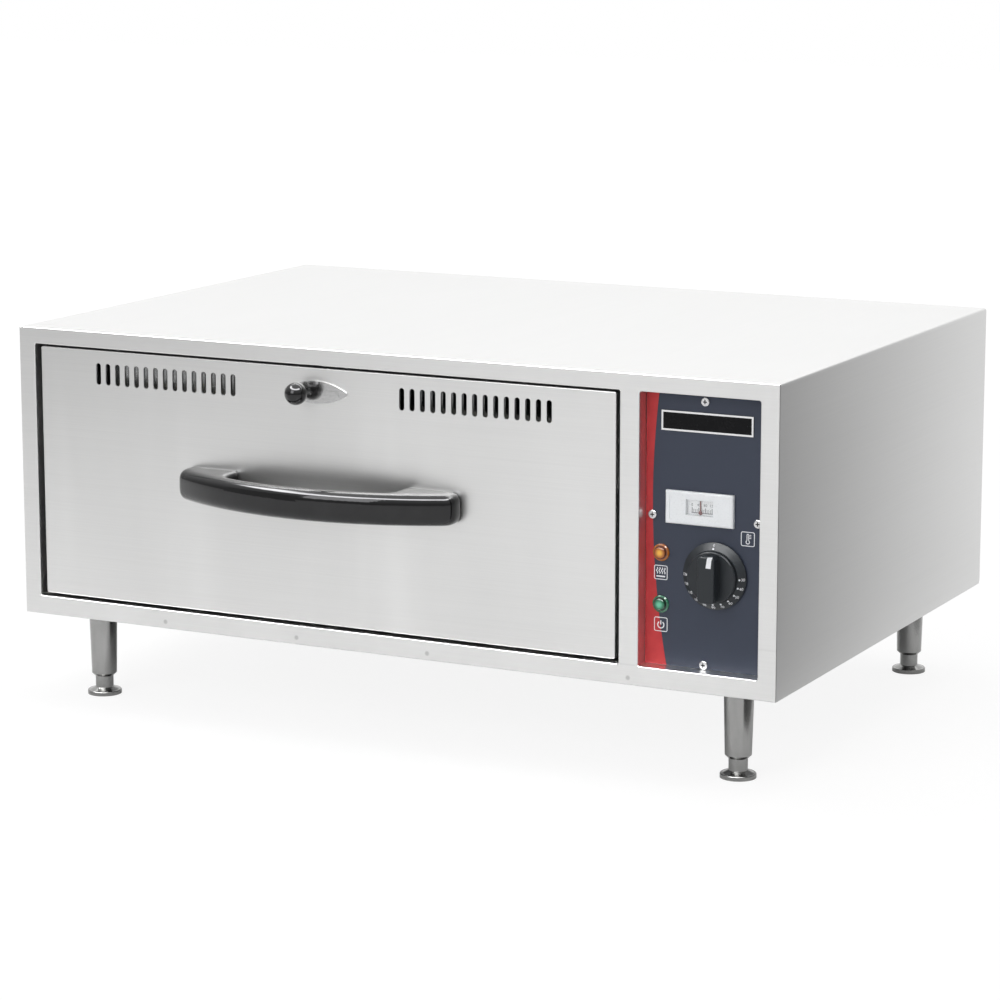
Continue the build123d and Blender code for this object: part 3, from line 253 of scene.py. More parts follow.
def sheet_polish():
    """Shader group: fine polishing lines, and broad handling smears across them."""
    group = bpy.data.node_groups.new("sheet_polish", "ShaderNodeTree")
    add_sockets(group, "INPUT", {"Color": "Color", "Lines": "Vector", "Drag": "Vector",
                                 "Line Depth": "Float", "Smear Depth": "Float", "Roughness": "Float"})
    add_sockets(group, "OUTPUT", {"Color": "Color", "Roughness": "Float", "Height": "Float"})
    given = joined(group, "NodeGroupInput").outputs
    place = own_place(group)
    line_place = joined(group, "ShaderNodeMapping", {"Vector": place, "Scale": given["Lines"]}).outputs[0]
    drag_place = joined(group, "ShaderNodeMapping", {"Vector": place, "Scale": given["Drag"]}).outputs[0]
    lines = noise(group, line_place, scale=1.0, detail=3.0, roughness=0.75)
    drag = noise(group, drag_place, scale=1.0, detail=3.0, roughness=0.55, distortion=0.4)
    line_part = sum_of(group, "MULTIPLY", sum_of(group, "SUBTRACT", lines, 0.5), given["Line Depth"])
    drag_part = sum_of(group, "MULTIPLY", sum_of(group, "SUBTRACT", drag, 0.5), given["Smear Depth"])
    tone = sum_of(group, "ADD", sum_of(group, "ADD", line_part, drag_part), 1.0)
    smear_gloss, line_gloss = -0.5, 0.4
    rough = sum_of(group, "MULTIPLY_ADD", drag_part, smear_gloss, given["Roughness"])
    rough = sum_of(group, "MULTIPLY_ADD", line_part, line_gloss, rough)
    colour = scaled(group, given["Color"], tone)
    joined(group, "NodeGroupOutput", {"Color": colour, "Roughness": rough, "Height": lines})
    return group


polish = sheet_polish()


def material(name, colour, roughness, **sockets):
    """A new material: its Principled shader with plain values, to which patterns are then wired."""
    made = bpy.data.materials.new(name)
    made.use_nodes = True
    shader = made.node_tree.nodes["Principled BSDF"]
    shader.inputs["Base Color"].default_value = (*colour, 1)
    shader.inputs["Roughness"].default_value = roughness
    for socket, value in sockets.items():
        shader.inputs[socket.replace("_", " ")].default_value = value
    return made


def wired(made, **sources):
    """Wire patterns to the sockets of a material's Principled shader."""
    tree = made.node_tree
    for socket, source in sources.items():
        tree.links.new(source, tree.nodes["Principled BSDF"].inputs[socket.replace("_", " ")])


def bumped(made, height, strength, depth):
    """A bump of a given depth in metres, wired to the material's Normal."""
    relief = {"Height": height, "Strength": strength, "Distance": depth}
    wired(made, Normal=joined(made.node_tree, "ShaderNodeBump", relief).outputs[0])


def polished_sheet(name, colour, roughness, lines, drag, line_depth, smear_depth):
    """Stainless sheet whose polish and smears come from the shared group."""
    made = material(name, colour, roughness, Metallic=1.0)
    values = {"Color": (*colour, 1), "Lines": lines, "Drag": drag, "Line Depth": line_depth,
              "Smear Depth": smear_depth, "Roughness": roughness}
    skin = joined(made.node_tree, "ShaderNodeGroup", values, node_tree=polish).outputs
    wired(made, Base_Color=skin["Color"], Roughness=skin["Roughness"])
    bumped(made, skin["Height"], strength=0.25, depth=0.00006)
    return made


def dress(finish, *names):
    """Give CAD nodes their finish."""
    for name in names:
        slots = nodes[name].material_slots
        if len(slots) == 0:
            nodes[name].data.materials.append(finish)
        for slot in slots:
            slot.material = finish


wrap_sheet = polished_sheet("satin_wrap", (0.85, 0.85, 0.845), roughness=0.33, lines=(700, 5, 700),
                            drag=(3, 1.2, 3), line_depth=0.06, smear_depth=0.10)
dress(wrap_sheet, "outer_wrap", "rear_panel")


# ---- Face frame ----
# Folded stainless front with brushed faces. The frame's corners and the foot of
# its mullion are welded and dressed, and four spot welds show on the bottom rail.
frame_sheet = polished_sheet("brushed_frame", (0.76, 0.76, 0.755), roughness=0.34, lines=(5, 700, 700),
                             drag=(9, 9, 2.5), line_depth=0.09, smear_depth=0.14)
spot_welds_x = (-0.233, -0.089, 0.049, 0.251)
spot_weld_z = front_lo.z + 0.0065
spot_clear_r, spot_full_r = 0.00275, 0.00132
spot_shade = 0.30
weld_seams = ((0.2511, front_lo.z + 0.0185, 0.022), (0.3838, front_lo.z + 0.046, 0.018))
seam_clear, seam_full = 0.0014, 0.0002
seam_shade = 0.07


def apart(tree, value, middle):
    """How far a value is from a middle one."""
    return sum_of(tree, "ABSOLUTE", sum_of(tree, "SUBTRACT", value, middle))


def weld_marks(finish):
    """Darken small round weld prints and short dressed seams on a finish."""
    tree = finish.node_tree
    colour = tree.nodes["Principled BSDF"].inputs["Base Color"].links[0].from_socket
    place = own_place(tree)
    spread = parted(tree, place)
    mark = 0.0
    for x in spot_welds_x:
        spot = (x, front_lo.y, spot_weld_z)
        gap = joined(tree, "ShaderNodeVectorMath", {0: place, 1: spot}, operation="DISTANCE")
        ring = ramp(tree, gap.outputs["Value"], spot_clear_r, spot_full_r, 0.0, spot_shade)
        mark = sum_of(tree, "MAXIMUM", mark, ring)
    for x, z, reach in weld_seams:
        near = ramp(tree, apart(tree, spread["Z"], z), seam_clear, seam_full, 0.0, seam_shade)
        inside = sum_of(tree, "LESS_THAN", apart(tree, spread["X"], x), reach / 2)
        mark = sum_of(tree, "MAXIMUM", mark, sum_of(tree, "MULTIPLY", near, inside))
    wired(finish, Base_Color=scaled(tree, colour, sum_of(tree, "SUBTRACT", 1.0, mark)))


weld_marks(frame_sheet)
dress(frame_sheet, "face_frame")


# ---- Base pan, cavity liner and bay wall ----
# The cavity is a box of bright annealed sheet, nearly as rolled. The bay wall and
# the panel's backing plate are zinc-coated steel with a fine spangle.
bright_sheet = polished_sheet("bright_sheet", (0.66, 0.665, 0.67), roughness=0.26, lines=(5, 260, 260),
                              drag=(6, 6, 6), line_depth=0.05, smear_depth=0.12)
dress(bright_sheet, "base_pan", "cavity_liner", "element_clips")


def mixed(tree, part, first, second):
    """The first colour where part is 0 and the second where it is 1."""
    parts = {"Factor": part, "A": first, "B": second}
    return joined(tree, "ShaderNodeMix", parts, data_type="RGBA").outputs[2]


def fine_grain():
    """Shader group: a fine noise that varies a finish between two roughnesses and two colours."""
    group = bpy.data.node_groups.new("fine_grain", "ShaderNodeTree")
    add_sockets(group, "INPUT", {"Scale": "Float", "Smooth": "Float", "Rough": "Float", "Dark": "Color",
                                 "Light": "Color"})
    add_sockets(group, "OUTPUT", {"Color": "Color", "Roughness": "Float", "Height": "Float"})
    given = joined(group, "NodeGroupInput").outputs
    spots = noise(group, own_place(group), given["Scale"], detail=4.0, roughness=0.6)
    dark_below, light_above = 0.3, 0.7
    part = ramp(group, spots, dark_below, light_above)
    rough = ramp(group, part, 0.0, 1.0, given["Smooth"], given["Rough"])
    colour = mixed(group, part, given["Dark"], given["Light"])
    joined(group, "NodeGroupOutput", {"Color": colour, "Roughness": rough, "Height": part})
    return group


grain = fine_grain()


def grained(name, dark, light, smooth, rough, scale, relief=0.0, **sockets):
    """A material whose colour and gloss vary with the shared grain, embossed where relief is given."""
    made = material(name, light, rough, **sockets)
    values = {"Scale": scale, "Smooth": smooth, "Rough": rough, "Dark": (*dark, 1), "Light": (*light, 1)}
    skin = joined(made.node_tree, "ShaderNodeGroup", values, node_tree=grain).outputs
    wired(made, Base_Color=skin["Color"], Roughness=skin["Roughness"])
    if relief > 0:
        bumped(made, skin["Height"], strength=0.3, depth=relief)
    return made


zinc = grained("zinc_sheet", (0.52, 0.53, 0.54), (0.64, 0.65, 0.66), smooth=0.34, rough=0.52, scale=160,
               Metallic=1.0)
dress(zinc, "bay_wall", "control_panel")


# ---- Insulation ----
# A mineral-wool blanket and boards are packed round the liner and in the drawer's
# front. They are yellow-brown and matt, with short tangled fibres.
wool = material("mineral_wool", (0.50, 0.43, 0.26), roughness=0.95, Sheen_Weight=0.3)
wool_tree = wool.node_tree
wool_fibre = noise(wool_tree, own_place(wool_tree), scale=420.0, detail=8.0, roughness=0.8, distortion=2.5)
wired(wool, Base_Color=mixed(wool_tree, wool_fibre, (0.34, 0.28, 0.15, 1), (0.70, 0.63, 0.42, 1)))
bumped(wool, wool_fibre, strength=0.8, depth=0.0015)
dress(wool, "insulation_blanket", "insulation_base", "insulation_rear", "drawer_front_insulation")


# ---- Heating element ----
# Sheathed tubular element, bent to shape and held in clips on the liner's floor.
# Heat has tinted its nickel-alloy skin straw and blue.
heat_tints = ((0.35, (0.20, 0.17, 0.15, 1)), (0.52, (0.34, 0.26, 0.17, 1)), (0.68, (0.19, 0.20, 0.25, 1)))
sheath = material("tinted_sheath", (0.26, 0.24, 0.22), roughness=0.42, Metallic=1.0)
sheath_tree = sheath.node_tree
sheath_heat = noise(sheath_tree, own_place(sheath_tree), scale=9.0, detail=2.0, roughness=0.5)
sheath_tint = joined(sheath_tree, "ShaderNodeValToRGB", {"Fac": sheath_heat})
tint_stops = sheath_tint.color_ramp.elements
tint_stops.new(heat_tints[1][0])
for stop, (position, colour) in zip(tint_stops, heat_tints):
    stop.position = position
    stop.color = colour
wired(sheath, Base_Color=sheath_tint.outputs[0])
dress(sheath, "heating_element")


# ---- Slides and their rollers ----
# Rolled channels of bright sheet, a rail on the liner and a runner on the drawer at
# each side. Each holds one nylon roller that turns on a shouldered pin.
dress(bright_sheet, "slide_rail_left", "slide_rail_right", "slide_runner_left", "slide_runner_right")

nylon = grained("nylon_roller", (0.76, 0.75, 0.70), (0.84, 0.83, 0.78), smooth=0.28, rough=0.50, scale=300,
                Subsurface_Weight=0.1, Subsurface_Scale=0.002)
dress(nylon, "rail_roller_left", "rail_roller_right", "runner_roller_left", "runner_roller_right")


# ---- Screws, rivets and nuts ----
# Plated fasteners: bright round heads on the back and cross-slotted ones on the
# control panel, with painted shade in their recesses. Nuts and rivets inside are duller.
plated = grained("plated_fastener", (0.58, 0.58, 0.59), (0.80, 0.80, 0.81), smooth=0.08, rough=0.26,
                 scale=700, Metallic=1.0)
dress(plated, "rear_panel_screws")
dress(zinc, "rail_rivets", "leg_nuts", "handle_screws", "thermostat_shaft")

panel_screw_places = ((0.3170, 0.3433), (0.2676, 0.2395), (0.3679, 0.2395), (0.3177, 0.1082))
recess_reach = 0.0019
recess_half_w = 0.00052
recess_painted_shade = (0.03, 0.03, 0.03, 1)


def recessed(finish):
    """Paint the shade that stands in each panel screw's cross-shaped recess into the plating's colour."""
    tree = finish.node_tree
    plating = tree.nodes["Principled BSDF"].inputs["Base Color"].links[0].from_socket
    spread = parted(tree, own_place(tree))
    shade = 0.0
    for x, z in panel_screw_places:
        aside, above = apart(tree, spread["X"], x), apart(tree, spread["Z"], z)
        thin = sum_of(tree, "LESS_THAN", sum_of(tree, "MINIMUM", aside, above), recess_half_w)
        near = sum_of(tree, "LESS_THAN", sum_of(tree, "MAXIMUM", aside, above), recess_reach)
        shade = sum_of(tree, "MAXIMUM", shade, sum_of(tree, "MULTIPLY", thin, near))
    wired(finish, Base_Color=mixed(tree, shade, plating, recess_painted_shade))


# The panel screws get their own copy of the plating, which carries this painted recess shade.
screw_plating = grained("recessed_plating", (0.50, 0.50, 0.51), (0.78, 0.78, 0.79), smooth=0.08, rough=0.26,
                        scale=700, Metallic=1.0)
recessed(screw_plating)
dress(screw_plating, "panel_screws")


# ---- Drawer front, carrier and pan ----
# The front is a folded pan of brushed stainless with upright handling smears. The
# slotted inner plate, the carrier and the drawn food pan behind it are brighter.
drawer_sheet = polished_sheet("brushed_front", (0.74, 0.74, 0.735), roughness=0.32, lines=(4, 800, 800),
                              drag=(7, 7, 1.1), line_depth=0.10, smear_depth=0.22)
dress(drawer_sheet, "drawer_front_skin")
dress(bright_sheet, "drawer_inner_plate", "drawer_carrier", "vent_shutter", "shutter_guides")

pan_steel = polished_sheet("drawn_pan", (0.70, 0.70, 0.70), roughness=0.22, lines=(120, 120, 4),
                           drag=(8, 8, 8), line_depth=0.04, smear_depth=0.14)
dress(pan_steel, "food_pan")


# ---- Vent plate and its mark ----
# A leaf-shaped polished escutcheon stands round the shutter knob's stem. Its only
# mark is a plain raised wedge that grows towards the open side.
leaf_steel = polished_sheet("polished_leaf", (0.60, 0.60, 0.60), roughness=0.17, lines=(5, 500, 500),
                            drag=(260, 260, 260), line_depth=0.05, smear_depth=0.55)
dress(leaf_steel, "vent_plate")
print_join = 1e-7


def placed(name, mesh, body):
    """A mesh as a piece that rides on a body."""
    piece = bpy.data.objects.new(name, mesh)
    scene.collection.objects.link(piece)
    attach(piece, body)
    return piece


def print_mesh(name, polygons, y, thickness, finish, body):
    """Thin raised print or plate on a face that looks to the front, from X-Z polygons."""
    mesh = bpy.data.meshes.new(name)
    shape = bmesh.new()
    for polygon in polygons:
        shape.faces.new([shape.verts.new((x, y, z)) for x, z in polygon])
    bmesh.ops.remove_doubles(shape, verts=shape.verts, dist=print_join)
    for face in shape.faces:
        face.normal_update()
        if face.normal.y > 0:
            face.normal_flip()
    bmesh.ops.triangulate(shape, faces=shape.faces)
    outer = bmesh.ops.extrude_face_region(shape, geom=list(shape.faces))
    moved = [item for item in outer["geom"] if isinstance(item, bmesh.types.BMVert)]
    bmesh.ops.translate(shape, verts=moved, vec=(0, -thickness, 0))
    bmesh.ops.recalc_face_normals(shape, faces=shape.faces)
    shape.to_mesh(mesh)
    shape.free()
    mesh.materials.append(finish)
    placed(name, mesh, body)


leaf_lo, leaf_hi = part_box("vent_plate")
leaf_middle = (leaf_lo + leaf_hi) / 2
wedge_t = 0.0005
wedge = [(leaf_middle.x + reach, leaf_middle.z + rise) for reach, rise in (
    (0.006, -0.00055), (0.024, -0.00275), (0.024, 0.00275), (0.006, 0.00055))]
print_mesh("vent_wedge", [wedge], leaf_lo.y, wedge_t, leaf_steel, "drawer")


# ---- Bow handle and vent knob ----
# Cast bow handle and turned ball knob in black chrome: almost black, mirror bright,
# with faint waviness in the plating. The handle is screwed on from inside.
black_chrome = grained("black_chrome", (0.008, 0.008, 0.009), (0.014, 0.014, 0.015), smooth=0.08,
                       rough=0.16, scale=60, relief=0.00003, Metallic=1.0, Coat_Weight=0.85,
                       Coat_Roughness=0.04)
dress(black_chrome, "handle", "vent_knob")
handle_skin = 0.0012
handle_passes = 36
buff_share = 0.5
form_join = 1e-6


def settled(name, holder, body):
    """Turn an object's finished form into a plain mesh that rides on a body."""
    bpy.context.view_layer.update()
    mesh = bpy.data.meshes.new_from_object(holder.evaluated_get(bpy.context.evaluated_depsgraph_get()))
    bpy.data.objects.remove(holder)
    mesh.name = name
    return placed(name, mesh, body)


def eased(name, node, skin, passes, finish, body):
    """The node's form under one even skin, its edges eased as casting, buffing and plating leave them."""
    shape = bmesh.new()
    shape.from_mesh(nodes[node].data)
    bmesh.ops.remove_doubles(shape, verts=shape.verts, dist=form_join)
    form = bpy.data.meshes.new(name + "_form")
    shape.to_mesh(form)
    shape.free()
    holder = bpy.data.objects.new(name + "_form", form)
    scene.collection.objects.link(holder)
    cover = holder.modifiers.new("skin", "REMESH")
    cover.mode = "VOXEL"
    cover.voxel_size = skin
    cover.use_smooth_shade = True
    buff = holder.modifiers.new("buff", "SMOOTH")
    buff.factor = buff_share
    buff.iterations = passes
    piece = settled(name, holder, body)
    piece.data.materials.clear()
    piece.data.materials.append(finish)
    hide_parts(node)


eased("bow_handle", "handle", handle_skin, handle_passes, black_chrome, "drawer")


# ---- Control panel overlay: slate film, red sweep and symbols ----
# A printed film covers the panel: slate blue with a curved red band at the left and
# three white symbols in rounded frames, for heat, power and temperature.
film = grained("slate_film", (0.036, 0.044, 0.067), (0.040, 0.048, 0.073), smooth=0.34, rough=0.50,
               scale=1600, relief=0.00002, Specular_IOR_Level=0.30)
dress(film, "panel_overlay")

film_lo, film_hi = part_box("panel_overlay")
ink_t = 0.00006
red_ink = grained("red_ink", (0.43, 0.030, 0.034), (0.52, 0.040, 0.044), smooth=0.36, rough=0.46, scale=60,
                  Specular_IOR_Level=0.30)
sweep_points = ((0.2730, film_hi.z), (0.2674, film_lo.z + 0.139), (0.2816, film_lo.z))
sweep_steps = 32


def sweep_x(z):
    """X of the red band's curved edge at a height: a smooth curve through its three points."""
    total = 0.0
    for i, (x, height) in enumerate(sweep_points):
        weight = 1.0
        for j, (_, other) in enumerate(sweep_points):
            if i != j:
                weight *= (z - other) / (height - other)
        total += weight * x
    return total


sweep_heights = [film_lo.z + (film_hi.z - film_lo.z) * i / sweep_steps for i in range(sweep_steps + 1)]
sweep_bands = [[(film_lo.x, za), (sweep_x(za), za), (sweep_x(zb), zb), (film_lo.x, zb)]
               for za, zb in zip(sweep_heights, sweep_heights[1:])]
print_mesh("red_sweep", sweep_bands, film_lo.y, ink_t, red_ink, "cabinet")

white_ink = grained("white_ink", (0.76, 0.77, 0.80), (0.84, 0.85, 0.88), smooth=0.36, rough=0.54, scale=900)
symbol_size = 0.0130
symbol_line = 0.0007
symbol_corner = 0.0014
corner_steps = 6


def stroke(points, width):
    """A line of even width as a row of quads."""
    sides = []
    for i, point in enumerate(points):
        before = Vector(points[max(i - 1, 0)])
        after = Vector(points[min(i + 1, len(points) - 1)])
        run = (after - before).normalized()
        aside = Vector((-run.y, run.x)) * width / 2
        sides.append((Vector(point) - aside, Vector(point) + aside))
    return [[tuple(a[0]), tuple(b[0]), tuple(b[1]), tuple(a[1])] for a, b in zip(sides, sides[1:])]


def arc(cx, cz, r, start, end, steps):
    """Points along a round arc; angles in degrees clockwise from the top."""
    angles = [radians(start + (end - start) * i / steps) for i in range(steps + 1)]
    return [(cx + r * sin(a), cz + r * cos(a)) for a in angles]


def symbol(name, cx, cz, lines):
    """A white symbol in its rounded frame, from lines about its centre, each with its width."""
    half = (symbol_size - symbol_line) / 2 - symbol_corner
    path = []
    for sx, sz, start in ((1, 1, 0), (1, -1, 90), (-1, -1, 180), (-1, 1, 270)):
        path += arc(cx + sx * half, cz + sz * half, symbol_corner, start, start + 90, corner_steps)
    shapes = stroke(path + path[:2], symbol_line)[:-1]
    for width, points in lines:
        shapes += stroke([(cx + x, cz + z) for x, z in points], width)
    print_mesh(name, shapes, film_lo.y - ink_t, ink_t, white_ink, "cabinet")


wave_count, wave_steps = 4, 12
wave_pitch, wave_sway, wave_foot, wave_h = 0.0024, 0.0006, -0.0012, 0.0056
wave_line, tray_line = 0.0008, 0.0013
heat_lines = []
for i in range(wave_count):
    wave_x = (i - (wave_count - 1) / 2) * wave_pitch
    wave = [(wave_x + wave_sway * sin(t * pi / 4), wave_foot + wave_h * t / wave_steps)
            for t in range(wave_steps + 1)]
    heat_lines.append((wave_line, wave))
heat_lines.append((tray_line, [(-0.0042, -0.0035), (0.0042, -0.0035)]))
symbol("heat_symbol", cx=0.2756, cz=film_lo.z + 0.0834, lines=heat_lines)

power_line = 0.0010
power_lines = [(power_line, arc(0, -0.0004, r=0.0030, start=35, end=325, steps=24)),
               (power_line, [(0, -0.0002), (0, 0.0036)])]
symbol("power_symbol", cx=0.2760, cz=film_lo.z + 0.0365, lines=power_lines)

bulb_line, tube_line, tick_line = 0.0008, 0.0007, 0.0006
tube_half, tube_foot, tube_top, tube_cap = 0.0008, -0.0012, 0.0040, 0.0043
warmth_lines = [(bulb_line, arc(0, -0.0027, r=0.0016, start=30, end=330, steps=20)),
                (tube_line, [(-tube_half, tube_foot), (-tube_half, tube_top)]),
                (tube_line, [(tube_half, tube_foot), (tube_half, tube_top)]),
                (tube_line, [(-tube_half, tube_cap), (tube_half, tube_cap)])]
for tick_z in (0.0008, 0.0022, 0.0036):
    warmth_lines.append((tick_line, [(0.0014, tick_z), (0.0032, tick_z)]))
symbol("warmth_symbol", cx=0.3582, cz=film_lo.z + 0.1210, lines=warmth_lines)


# ---- Nameplate ----
# A small black plate stuck on the film, left bare. A thin bright metal edge runs
# round it.
plate_black = grained("plate_black", (0.003, 0.003, 0.004), (0.006, 0.006, 0.007), smooth=0.16, rough=0.34,
                      scale=120, Specular_IOR_Level=0.12)
dress(plate_black, "nameplate_blank")

plate_lo, plate_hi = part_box("nameplate_blank")
plate_edge = 0.0016
plate_edge_t = 0.0003


def plate_corners(inset):
    """The plate's four corners, drawn in by an inset."""
    x0, x1 = plate_lo.x + inset, plate_hi.x - inset
    z0, z1 = plate_lo.z + inset, plate_hi.z - inset
    return [(x0, z0), (x1, z0), (x1, z1), (x0, z1)]


rim_outer, rim_inner = plate_corners(0.0), plate_corners(plate_edge)
rim_quads = [[rim_outer[i], rim_outer[(i + 1) % 4], rim_inner[(i + 1) % 4], rim_inner[i]] for i in range(4)]
silver = polished_sheet("silver_edge", (0.80, 0.80, 0.81), roughness=0.24, lines=(400, 400, 400),
                        drag=(30, 30, 30), line_depth=0.05, smear_depth=0.10)
print_mesh("nameplate_edge", rim_quads, plate_lo.y, plate_edge_t, silver, "cabinet")


# ---- Thermometer ----
# Capillary thermometer in a white moulded case: printed scale card, dull red pointer
# and a clear window set inside the bezel.
bezel_white = grained("bezel_white", (0.79, 0.81, 0.83), (0.82, 0.84, 0.86), smooth=0.24, rough=0.40,
                      scale=700, relief=0.00002, Coat_Weight=0.2, Coat_Roughness=0.2)
card = grained("scale_card", (0.84, 0.85, 0.86), (0.90, 0.91, 0.92), smooth=0.50, rough=0.70, scale=2200)
needle_red = grained("needle_red", (0.13, 0.030, 0.028), (0.18, 0.036, 0.034), smooth=0.30, rough=0.46,
                     scale=900)
window_clear = grained("window_clear", (0.86, 0.89, 0.91), (0.92, 0.94, 0.96), smooth=0.02, rough=0.06,
                       scale=90, Alpha=0.07)
dial_ink = grained("dial_ink", (0.05, 0.05, 0.055), (0.09, 0.09, 0.10), smooth=0.48, rough=0.64, scale=1500)
dress(bezel_white, "thermometer_case")
dress(card, "thermometer_dial")
dress(needle_red, "thermometer_needle")
dress(window_clear, "thermometer_window")

dial_lo, dial_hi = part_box("thermometer_dial")
scale_x = (dial_lo.x + dial_hi.x) / 2 + 0.0012
scale_half = 0.0095
scale_overrun = 0.0006
scale_ticks = 13
ticks_per_number = 4
tick_foot = (dial_lo.z + dial_hi.z) / 2 - 0.0050
tick_long, tick_short = 0.0046, 0.0034
tick_bold, tick_fine = 0.00062, 0.00042
dial_ink_t = 0.00004
dial_number_size = 0.0034
dial_number_z = tick_foot + 0.0070
numeral_half_t = 0.00003


def scale_place(tick):
    """X of a tick of the thermometer's scale."""
    return scale_x - scale_half + 2 * scale_half * tick / (scale_ticks - 1)


scale_end = scale_half + scale_overrun
scale_lines = stroke([(scale_x - scale_end, tick_foot), (scale_x + scale_end, tick_foot)], tick_bold)
for i in range(scale_ticks):
    tall = i % ticks_per_number == 0
    tick_top = tick_foot + (tick_long if tall else tick_short)
    scale_lines += stroke([(scale_place(i), tick_foot), (scale_place(i), tick_top)],
                          tick_bold if tall else tick_fine)
print_mesh("thermometer_scale", scale_lines, dial_lo.y, dial_ink_t, dial_ink, "cabinet")


def numeral(name, text, size, place, finish, body, facing=(0, -1, 0)):
    """A plain printed numeral, upright and centred on a point of a surface that faces a given way."""
    curve = bpy.data.curves.new(name, "FONT")
    curve.body = text
    curve.size = size
    curve.align_x = "CENTER"
    curve.align_y = "CENTER"
    curve.extrude = numeral_half_t
    words = bpy.data.objects.new(name + "_curve", curve)
    scene.collection.objects.link(words)
    piece = settled(name, words, body)
    outward = Vector(facing).normalized()
    rise = (Vector((0, 0, 1)) - outward * outward.z).normalized()
    lean = Matrix((rise.cross(outward), rise, outward)).transposed().to_4x4()
    piece.data.transform(Matrix.Translation(place) @ lean)
    piece.data.materials.clear()
    piece.data.materials.append(finish)


for i, value in enumerate(("0", "40", "80", "120")):
    numeral_place = (scale_place(i * ticks_per_number), dial_lo.y - dial_ink_t, dial_number_z)
    numeral(f"scale_numeral_{value}", value, dial_number_size, numeral_place, dial_ink, "cabinet")


# ---- Thermostat and its knob ----
# Black moulded knob with a raised bar on a numbered skirt, pressed on the shaft of
# a capillary thermostat. Marks are white, hot-stamped into the moulding.
knob_black = grained("knob_black", (0.015, 0.018, 0.022), (0.020, 0.024, 0.028), smooth=0.30, rough=0.48,
                     scale=1400, relief=0.00002, Specular_IOR_Level=0.35)
moulded = grained("moulded_case", (0.040, 0.040, 0.043), (0.052, 0.052, 0.056), smooth=0.38, rough=0.56,
                  scale=600, relief=0.00003)
dress(knob_black, "thermostat_knob")
dress(moulded, "thermostat_body", "pilot_lamp_bodies")

knob_lo, knob_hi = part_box("thermostat_knob")
knob_x = (knob_lo.x + knob_hi.x) / 2
knob_z = (knob_lo.z + knob_hi.z) / 2
skirt_rim_r = (knob_hi.x - knob_lo.x) / 2
skirt_rim_t = 0.001
skirt_cone_h = 0.0042
skirt_cone_w = 0.0062
skirt_slope = skirt_cone_h / skirt_cone_w
pointer_t = 0.0001
pointer_shape = ((0.0002, 0.0110), (0.0050, 0.0109), (0.0056, 0.0180), (0.0068, 0.0214), (0.0021, 0.0207),
                 (0.0014, 0.0190))
pointer = [(knob_x + x, knob_z + z) for x, z in pointer_shape]
print_mesh("knob_pointer", [pointer], knob_lo.y, pointer_t, white_ink, "thermostat_dial")

dot_ring_r = 0.0250
dot_r = 0.0009
dot_t = 0.00016
number_ring_r = 0.0277
number_size = 0.0036
number_seat = 0.00005
mark_first = radians(91.0)
mark_step = radians(17.8)
mark_count = 11
mark_values = [30 + 10 * i for i in range(mark_count)]


def skirt_y(r):
    """Y of the skirt's coned face at a radius."""
    return knob_hi.y - skirt_rim_t - skirt_slope * (skirt_rim_r - r)


def dot_ring():
    """Geometry Nodes: small round marks along an arc of the skirt, clockwise from the top."""
    tree = bpy.data.node_groups.new("skirt_dots", "GeometryNodeTree")
    add_sockets(tree, "INPUT", {"Radius": "Float", "First Angle": "Float", "Step": "Float",
                                "Count": "Int", "Dot Radius": "Float", "Dot Depth": "Float",
                                "Centre": "Vector", "Lean": "Float", "Finish": "Material"})
    add_sockets(tree, "OUTPUT", {"Geometry": "Geometry"})
    given = joined(tree, "NodeGroupInput").outputs
    index = joined(tree, "GeometryNodeInputIndex").outputs[0]
    turn = sum_of(tree, "MULTIPLY_ADD", index, given["Step"], given["First Angle"])
    side = sum_of(tree, "MULTIPLY", sum_of(tree, "SINE", turn), given["Radius"])
    rise = sum_of(tree, "MULTIPLY", sum_of(tree, "COSINE", turn), given["Radius"])
    offset = joined(tree, "ShaderNodeCombineXYZ", {"X": side, "Z": rise}).outputs[0]
    leaning = {0: scaled(tree, offset, given["Lean"]), 1: (0, -1, 0)}
    outward = joined(tree, "ShaderNodeVectorMath", leaning, operation="ADD").outputs[0]
    turned_out = joined(tree, "FunctionNodeAlignRotationToVector", {"Vector": outward}, axis="Z").outputs[0]
    spot = joined(tree, "ShaderNodeVectorMath", {0: offset, 1: given["Centre"]}, operation="ADD").outputs[0]
    points = joined(tree, "GeometryNodePoints", {"Count": given["Count"], "Position": spot}).outputs[0]
    round_dot = {"Vertices": 20, "Radius": given["Dot Radius"], "Depth": given["Dot Depth"]}
    dot = joined(tree, "GeometryNodeMeshCylinder", round_dot).outputs["Mesh"]
    dots = {"Points": points, "Instance": dot, "Rotation": turned_out}
    dots = joined(tree, "GeometryNodeInstanceOnPoints", dots).outputs[0]
    real = joined(tree, "GeometryNodeRealizeInstances", {"Geometry": dots}).outputs[0]
    painted = joined(tree, "GeometryNodeSetMaterial", {"Geometry": real, "Material": given["Finish"]})
    joined(tree, "NodeGroupOutput", {"Geometry": painted.outputs[0]})
    return tree


def grown(name, tree, values, body):
    """A piece made by a Geometry Nodes tree, turned into a plain mesh."""
    holder = bpy.data.objects.new(name + "_tree", bpy.data.meshes.new(name + "_tree"))
    scene.collection.objects.link(holder)
    modifier = holder.modifiers.new(name, "NODES")
    modifier.node_group = tree
    for item in tree.interface.items_tree:
        if item.in_out == "INPUT" and item.name in values:
            modifier[item.identifier] = values[item.name]
    settled(name, holder, body)


